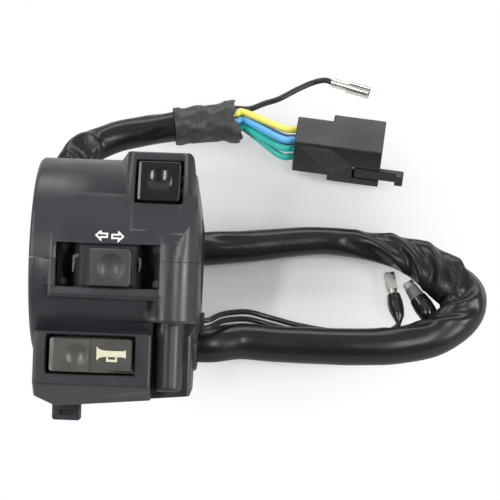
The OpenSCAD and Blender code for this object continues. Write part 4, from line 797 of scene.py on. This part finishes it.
def case_form(edge):
    """The whole outer form of the case with rounded edges, a hair inside the solids: drum, plateau, screw tower,
    dimmer pod, horn block, low right body, screw boss, outlet collar and tab."""
    def form(name, corners, radii, low, high, low_round, high_round, axis, place=from_case, steps=9):
        layers = end_rounds(low, high, low_round, high_round) + [SKIN, 0]
        return rounded_form(name, corners, radii, layers, axis, place, steps)
    face = [[-9.5, 0], [7.8, 0], [7.8, 23.6], [FACE_BEND, FACE_Z], [-9.5, FACE_Z]]
    tower = [[5, 0], [19.6, 0], [19.6, 25.2], [5, 25.2]]
    ridge = [[-17, -5], [17, -5], [17, 20.26], [4.9, 25.2], [-17, 25.2]]
    pod = [[-3.1, 6], [19.54, 6], [19.54, 16], [17.46, 23.4], [15.3, 25.2], [2.5, 25.2], [0.94, 24], [-3.1, 12]]
    pod_plan = [[-6, -2.6], [20.03, -2.6], [17.1, 18.8], [-6, 18.8]]
    horn = [[-15.9, 5], [-17.4, 22], [-30.4, 22], [-36.6, 15], [-36.6, -7.74], [-17.1, -19], [-15.9, -19]]
    low = [[-8, -19], [-8, 12.5], [-33.6, 12.5], [-36.6, 9.5], [-36.6, -7.74], [-17.1, -19]]
    low_plan = [[-19.9, -33.4], [-14.6, -36.08], [18.1, -32.87], [18.1, -5], [-19.9, -5]]
    towers = carved("towers", form("tower", swapped(tower), [7.3, 7.3, 1, 1], SKIN - 14.8, 16, edge, 0, "y", steps=24),
                    [("INTERSECT", form("ridge", ridge, [1, 1, 1, 16, 1], 0, 22, 0, 0, "x", steps=14))])
    pods = carved("pods", form("pod", swapped(pod), [1.2, 1, 3, 3, 2, 1, 1, 1], -4, 20, 0, 0, "y", from_pod, 12), [
        ("INTERSECT", form("pod_plan", pod_plan, [0.5, 0.5, 1.6, 0.8], 0, POD_Z - SKIN / 2, 0, 0.9, "z", from_pod))])
    lower = carved("lower", form("horn_block", horn, 0.9, SKIN - 19.9, 8.65 - SKIN, 0.9, edge, "x"), [
        ("UNION", form("low_body", low, 1.2, 3, 18.1 - SKIN, 0, 1.1, "x")),
        ("INTERSECT", form("low_plan", low_plan, 0.7, -30, 30, 0, 0, "z"))])
    right_plan = [[-30, -30], [19.8, -30], [19.8, 7], [16.8, 27], [-30, 27]]
    trimmed = lambda piece: carved(piece.name + "_trimmed", piece, [
        ("INTERSECT", form("right_plan", right_plan, [1, 1, 12, 3, 1], -40, 40, 0, 0, "z"))])
    return joined("case_form", [
        trimmed(barrel_form()),
        form("plateau", face, [1, 1, 1, FACE_ROUND, 1.2], SKIN - 16.75, 10.95 - SKIN, 0.9, 0.9, "x"),
        trimmed(towers), pods, lower,
        form("tab", rectangle(-16.6, -40.6, -9.2, -32), 0.9, 1.5 + SKIN, 4 - SKIN, 0.4, 0.4, "z"),
        rod("boss", (15.5, 12.6), 3.5 - SKIN, SKIN - 31.7, -12.6, 1.2, 0, "y", from_case),
        rod("collar", (-21, -8.5), 6.95 - SKIN, 9, 19 - SKIN, 0, 0.8, "x", from_case),
    ])


def rim_cutter(name, window, face, rim, place):
    """A funnel that bevels the rim of a window: the window's outline grows by its own rise."""
    layers = np.array([[0.03, face - rim], [-2 * rim, face + rim]])
    return rounded_form(name, rectangle(*window), 0.3, layers, "z", place)


class CLUSTER_OT_case(bpy.types.Operator):
    """Makes the two halves of the case with rounded edges and bevelled windows"""

    bl_idname = "cluster.case"
    bl_label = "Case Halves"

    def execute(self, context):
        made = context.scene.cluster_case
        plastic = surface("satin case plastic", made.plastic, 0.34, 0.00032, 0.000012, mottle=0.1, spread=0.05)
        form = case_form(made.edge / MM)
        for node in ("upper_case", "lower_case"):
            own = add_object("own_form", form.data.copy())
            rim = made.rim / MM
            half = carved(node.replace("case", "half"), node_copy(node), [
                ("INTERSECT", own),
                ("DIFFERENCE", rim_cutter("turn_rim", TURN_WINDOW, FACE_Z, rim, from_case)),
                ("DIFFERENCE", rim_cutter("dimmer_rim", DIMMER_WINDOW, POD_Z, rim, from_pod)),
                ("DIFFERENCE", rim_cutter("horn_rim", HORN_WINDOW, HORN_FACE_Z, rim, from_case)),
            ])
            settle(half, plastic, "case", [node])
        bpy.data.objects.remove(form, do_unlink=True)
        return {"FINISHED"}


def cap_form(name, plan, corner, base, top, draft, side, low_plan, low_top, place):
    """A button cap: its plan narrows by the draft towards a rounded top, its side profile along y bevels the left
    and right edges, and everything under low_top is kept as it is."""
    a = np.linspace(0, np.pi / 2, 6)
    layers = np.vstack([[[0.06, base - 12], [0.06, base]],
                        np.stack([0.06 + draft + 0.3 * (1 - np.cos(a)), top - 0.3 + 0.3 * np.sin(a)], -1)])
    under = np.array([[0, base - 20], [0, low_top]])
    forms = []
    for part in ("plan", "side"):
        keep = rounded_form(name + "_keep", rectangle(*low_plan), 0.5, under, "z", place)
        if part == "plan":
            shape = rounded_form(name + "_plan", rectangle(*plan), corner, layers, "z", place)
        else:
            ends = end_rounds(plan[1] - 2, plan[3] + 2, 0, 0)
            shape = rounded_form(name + "_side", swapped(side), 0.3, ends, "y", place)
        forms.append(joined(name + "_" + part + "_form", [keep, shape]))
    return forms


def make_cap(name, node, finish, slot, place, dimple, cuts=(), **form):
    """Cuts a cap's copy to its form and presses its dimple, given as centre, level, radius and depth."""
    plan, side = cap_form(name, place=place, **form)
    cap = carved(name + "_cap", node_copy(node), [
        ("INTERSECT", plan), ("INTERSECT", side), *[("DIFFERENCE", cut) for cut in cuts],
        ("DIFFERENCE", dimple_ball(name + "_dimple", *dimple, place))])
    settle(cap, finish, name, [node])


class CLUSTER_OT_caps(bpy.types.Operator):
    """Makes the slider knob, the dimmer rocker and the horn button with bevelled edges and smooth dimples"""

    bl_idname = "cluster.caps"
    bl_label = "Knob, Rocker and Horn Button"

    def execute(self, context):
        made = context.scene.cluster_case
        smoke = surface("smoky knob plastic", made.knob, 0.42, 0.0004, 0.000006, mottle=0.15, coat=0.1)
        make_cap("knob", "turn_knob", smoke, "knob_grey", from_case, ((-1.35, -1.75), 27.58, 3.4, 0.85),
                 plan=(-8.15, -6.45, 3.55, 2.95), corner=1.1, base=23.5, top=27.58, draft=0.2,
                 side=[[-8.15, 0], [3.55, 0], [3.55, 27], [3.3, 27.6], [-6.3, 27.6], [-8.15, 25.2]],
                 low_plan=(-12, -9, 7, 6), low_top=21.7)
        gloss = surface("glossy rocker plastic", made.rocker, 0.19, 0.0006, 0.000002, mottle=0.1, spread=0.03, coat=0.2,
                        coat_rough=0.06)
        make_cap("rocker", "dimmer_rocker", gloss, "rocker_gloss", from_rocker, ((9, 11.05), 26.88, 3.1, 0.7),
                 plan=(3.8, 6, 14.2, 16.1), corner=0.8, base=25, top=26.88, draft=0.12,
                 side=[[3.8, 0], [14.2, 0], [14.2, 26.1], [13.75, 26.9], [4.6, 26.9], [3.8, 26.46]],
                 low_plan=(1, 3, 18, 19), low_top=20.4)
        olive = surface("olive horn plastic", made.horn, 0.3, 0.0004, 0.000006, mottle=0.12)
        notch = rounded_form("horn_notch", rectangle(-3.15, -28.4, 6, -26.5), 0.2,
                             np.array([[0, 20.3], [0, 26]]), "z", from_case)
        make_cap("horn", "horn_button", olive, "horn_cap", from_case, ((-9.05, -22.95), 23.7, 2.8, 0.6), [notch],
                 plan=(-15.85, -27.3, 4.15, -18.8), corner=0.9, base=22.2, top=23.72, draft=0.2,
                 side=[[-15.85, 0], [4.15, 0], [4.15, 22.8], [3.75, 23.7], [-14.7, 23.7], [-15.85, 23.06]],
                 low_plan=(-20, -30, 7, -15), low_top=20.15)
        return {"FINISHED"}


def face_level(y):
    """Height of the case's face: level, then round the bend on an arc of radius R, then a slope of angle g:
    z = top - R + sqrt(R^2 - (y - y1)^2) from y1 = bend - R tan(g / 2) to y1 + R sin g."""
    g = math.atan(FACE_SLOPE)
    start = FACE_BEND - FACE_ROUND * math.tan(g / 2)
    along = np.clip(y - start, 0, FACE_ROUND * math.sin(g))
    arc = FACE_Z - FACE_ROUND + np.sqrt(FACE_ROUND ** 2 - along ** 2)
    return arc - FACE_SLOPE * np.maximum(y - start - FACE_ROUND * math.sin(g), 0)


def flat_sign(name, outer, inner, height, thick, loop, material, body):
    """A printed sign as a thin ribbon between two lines of points, its top at height(y)."""
    o, n = np.asarray(outer, float), np.asarray(inner, float)
    if loop:
        o, n = np.vstack([o, o[:1]]), np.vstack([n, n[:1]])
    level = lambda p, drop: np.column_stack([p, height(p[:, 1]) - drop])
    grid = np.stack([level(o, 0), level(n, 0), level(n, thick), level(o, thick)], 1)
    sign = grid_piece(name, from_case(grid), ends=not loop, outward=False, degrees=20)
    reworked(sign.data, merge_points, turn_outwards)
    return settle(sign, material, body, degrees=20)


def inset_outline(points, d):
    """A counter-clockwise outline moved inwards by d with mitred corners: p + d (n1 + n2) / (1 + n1.n2)."""
    p = np.asarray(points, float)
    edge = np.roll(p, -1, 0) - p
    edge /= np.linalg.norm(edge, axis=1, keepdims=True)
    after = np.stack([-edge[:, 1], edge[:, 0]], -1)
    before = np.roll(after, 1, 0)
    return p + d * (before + after) / (1 + (before * after).sum(1))[:, None]


class CLUSTER_OT_signs(bpy.types.Operator):
    """Makes the two turn arrows and the horn sign as thin prints"""

    bl_idname = "cluster.signs"
    bl_label = "Arrows and Horn Sign"

    def execute(self, context):
        made = context.scene.cluster_case
        white = surface("arrow print", made.sign, 0.5, 0.0003, 0.000004, mottle=0.05)
        arrow = np.array([
            [-1.5, -0.62], [0.05, -0.62], [0.05, -1.5], [1.6, 0], [0.05, 1.5], [0.05, 0.62], [-1.5, 0.62]])
        for name, turn, centre in (("arrow_left", -1, (-4.05, 5.8)), ("arrow_right", 1, (-0.24, 5.6))):
            outer = arrow * turn + centre
            flat_sign(name, outer, inset_outline(outer, 0.4), lambda y: face_level(y) - 0.06, 0.3, True, white, "case")
        cream = surface("horn print", made.horn_sign, 0.45, 0.0003, 0.000004, mottle=0.05)
        top = lambda y: np.full(len(y), 23.37)
        x = np.linspace(-4.35, 2.7, 60)
        half = 0.72 + 1.05 * np.exp(-(x + 4.35) / 0.65) + 0.2 * np.clip((x - 2.1) / 0.3, 0, 1)
        flat_sign("horn_sign_bell", np.column_stack([x, -22.5 + half]), np.column_stack([x, -22.5 - half]),
                  top, 0.17, False, cream, "horn")
        outer = [[-2.0, -23.1], [-2.0, -24.4], [0.65, -24.4], [0.65, -23.1]]
        inner = [[-1.5, -23.1], [-1.5, -23.85], [0.15, -23.85], [0.15, -23.1]]
        flat_sign("horn_sign_coil", outer, inner, top, 0.17, False, cream, "horn")
        return {"FINISHED"}


class CLUSTER_OT_connector(bpy.types.Operator):
    """Makes the connector's housing with rounded edges and dresses its latch"""

    bl_idname = "cluster.connector"
    bl_label = "Connector"

    def execute(self, context):
        made = context.scene.cluster_harness
        nylon = surface("connector nylon", made.nylon, 0.4, 0.0005, 0.00001, mottle=0.15)
        rear = rounded_form("rear", rectangle(0.04, 2.14, 9.96, 13.56), 0.5, end_rounds(0.04, 11, 0.4, 0), "x",
                            from_connector)
        front = rounded_form("front", rectangle(0.04, 0.04, 12.36, 13.56), 0.5, end_rounds(9.64, 23.76, 0.4, 0.3),
                             "x", from_connector)
        shell = carved("connector_shell", node_copy("connector_housing"),
                       [("INTERSECT", joined("connector_form", [rear, front]))])
        settle(shell, nylon, "case", ["connector_housing"])
        latch = frame["nodes"]["connector_latch"]
        weld = latch.modifiers.new("weld", "WELD")
        weld.merge_threshold = 1e-6
        flat = latch.modifiers.new("flat", "DECIMATE")
        flat.decimate_type = "DISSOLVE"
        flat.angle_limit = 0.01
        edges = latch.modifiers.new("edges", "BEVEL")
        edges.width = 0.0002
        edges.segments = 2
        edges.limit_method = "ANGLE"
        paint(latch, nylon)
        return {"FINISHED"}


class CLUSTER_OT_inner_pieces(bpy.types.Operator):
    """Gives every other solid of the frame its finish: metals, boards, rubber, nylon and the clear boot, with the turn
    window's rivets in a darker metal as painted shade
    """

    bl_idname = "cluster.inner_pieces"
    bl_label = "Metal and Inner Pieces"

    def execute(self, context):
        made = context.scene.cluster_harness
        finishes = {
            "zinc_steel": surface("zinc steel", (0.62, 0.62, 0.6), 0.32, 0.0004, 0.000006, metal=1),
            "spring_steel": surface("spring steel", (0.78, 0.77, 0.74), 0.22, 0.0005, 0.000003, metal=1),
            "tinned": surface("tinned brass", (0.78, 0.76, 0.71), 0.28, 0.0005, 0.000006, metal=1),
            "brass": surface("contact brass", (0.72, 0.52, 0.2), 0.3, 0.0004, 0.000004, metal=1),
            "base_black": surface("tray plastic", (0.007, 0.007, 0.008), 0.5, 0.0005, 0.000004),
            "black_nylon": surface("black nylon", (0.02, 0.02, 0.021), 0.42, 0.0004, 0.000008, mottle=0.1),
            "phenolic_brown": surface("brown board", (0.17, 0.09, 0.045), 0.5, 0.0003, 0.00001, mottle=0.3),
            "rubber_black": surface("black rubber", (0.018, 0.018, 0.018), 0.6, 0.0003, 0.00001, mottle=0.2),
            "wire_black": surface("inner lead cover", made.cover, 0.36, 0.0005, 0.000008, mottle=0.2),
            "clear_pvc": surface("clear vinyl", (0.9, 0.92, 0.93), 0.12, 0.001, 0.00001, mottle=0.02, spread=0.05,
                                 see=0.85),
        }
        for part in frame["record"]["subparts"]:
            node = frame["nodes"][part["node"]]
            if part["material_slot"] in finishes:
                paint(node, finishes[part["material_slot"]])
        # Painted shade: the rivets deep in the turn window get a darker metal than their zinc steel, to stand for the
        # window's shade
        rivets = surface("rivets darkened as painted shade", (0.12, 0.12, 0.12), 0.4, 0.0004, 0.000006, metal=1)
        paint(frame["nodes"]["turn_fasteners"], rivets)
        left = np.array([[-9.6, 0.75], [-10.3, 0.75], [-10.75, 0.5], [-10.8, -0.1], [-10.9, -1.6], [-11.05, -3.3]])
        right = np.array([[4.75, 0.7], [5.05, 0.4], [5.15, -1], [4.9, -2.6]])
        for name, line, wide in (("clip_left", left, [0.7, 0.7, 0.8, 0.6, 0.45, 0.15]),
                                 ("clip_right", right, [0.3, 0.55, 0.55, 0.25])):
            way = np.gradient(line, axis=0)
            way /= np.linalg.norm(way, axis=1, keepdims=True)
            off = np.stack([-way[:, 1], way[:, 0]], -1) * np.array(wide)[:, None] / 2
            clip = flat_sign(name, line + off, line - off, lambda y: 20.7 + 0.1 * y, 0.4, False,
                             finishes["spring_steel"], "slider")
            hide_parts("turn_detent_clips")
        return {"FINISHED"}


class CLUSTER_OT_springs(bpy.types.Operator):
    """Makes the coil springs under the slider knob and the horn button"""

    bl_idname = "cluster.springs"
    bl_label = "Coil Springs"

    def execute(self, context):
        steel = surface("coiled steel", (0.78, 0.77, 0.74), 0.22, 0.0005, 0.000003, metal=1)
        for name, (node, body, joint, centre, radius, wire, turns, low, high, keep) in SPRINGS.items():
            rings = coil(centre, radius, wire, turns, low, high)
            spring = dress(grid_piece(name, from_case(rings), degrees=60), steel, body, [node])
            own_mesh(spring)
        return {"FINISHED"}


class CLUSTER_PT_panel(bpy.types.Panel):
    """Lists the cluster's operators and settings in the sidebar"""

    bl_idname = "CLUSTER_PT_panel"
    bl_label = "Switch Cluster"
    bl_space_type = "VIEW_3D"
    bl_region_type = "UI"
    bl_category = "Switch Cluster"

    def draw(self, context):
        for maker in MAKERS:
            self.layout.operator(maker.bl_idname)
        scene = context.scene
        for group in (scene.cluster_case, scene.cluster_harness, scene.cluster_stage):
            box = self.layout.box()
            for setting in group.__annotations__:
                box.prop(group, setting)


MAKERS = [
    CLUSTER_OT_stage, CLUSTER_OT_harness_sleeve, CLUSTER_OT_sleeve_tape, CLUSTER_OT_fan_wires,
    CLUSTER_OT_connector, CLUSTER_OT_loose_leads, CLUSTER_OT_case, CLUSTER_OT_caps, CLUSTER_OT_signs,
    CLUSTER_OT_inner_pieces, CLUSTER_OT_springs,
]
CLASSES = [ClusterCase, ClusterHarness, ClusterStage, *MAKERS, CLUSTER_PT_panel]


def register():
    for c in CLASSES:
        bpy.utils.register_class(c)
    bpy.types.Scene.cluster_case = bpy.props.PointerProperty(type=ClusterCase)
    bpy.types.Scene.cluster_harness = bpy.props.PointerProperty(type=ClusterHarness)
    bpy.types.Scene.cluster_stage = bpy.props.PointerProperty(type=ClusterStage)


def unregister():
    del bpy.types.Scene.cluster_case, bpy.types.Scene.cluster_harness, bpy.types.Scene.cluster_stage
    for c in reversed(CLASSES):
        bpy.utils.unregister_class(c)


def main():
    """Makes everything in order."""
    register()
    bpy.ops.cluster.stage()
    bpy.ops.cluster.harness_sleeve()
    bpy.ops.cluster.sleeve_tape()
    bpy.ops.cluster.fan_wires()
    bpy.ops.cluster.connector()
    bpy.ops.cluster.loose_leads()
    bpy.ops.cluster.case()
    bpy.ops.cluster.caps()
    bpy.ops.cluster.signs()
    bpy.ops.cluster.inner_pieces()
    bpy.ops.cluster.springs()


if __name__ == "__main__":
    main()
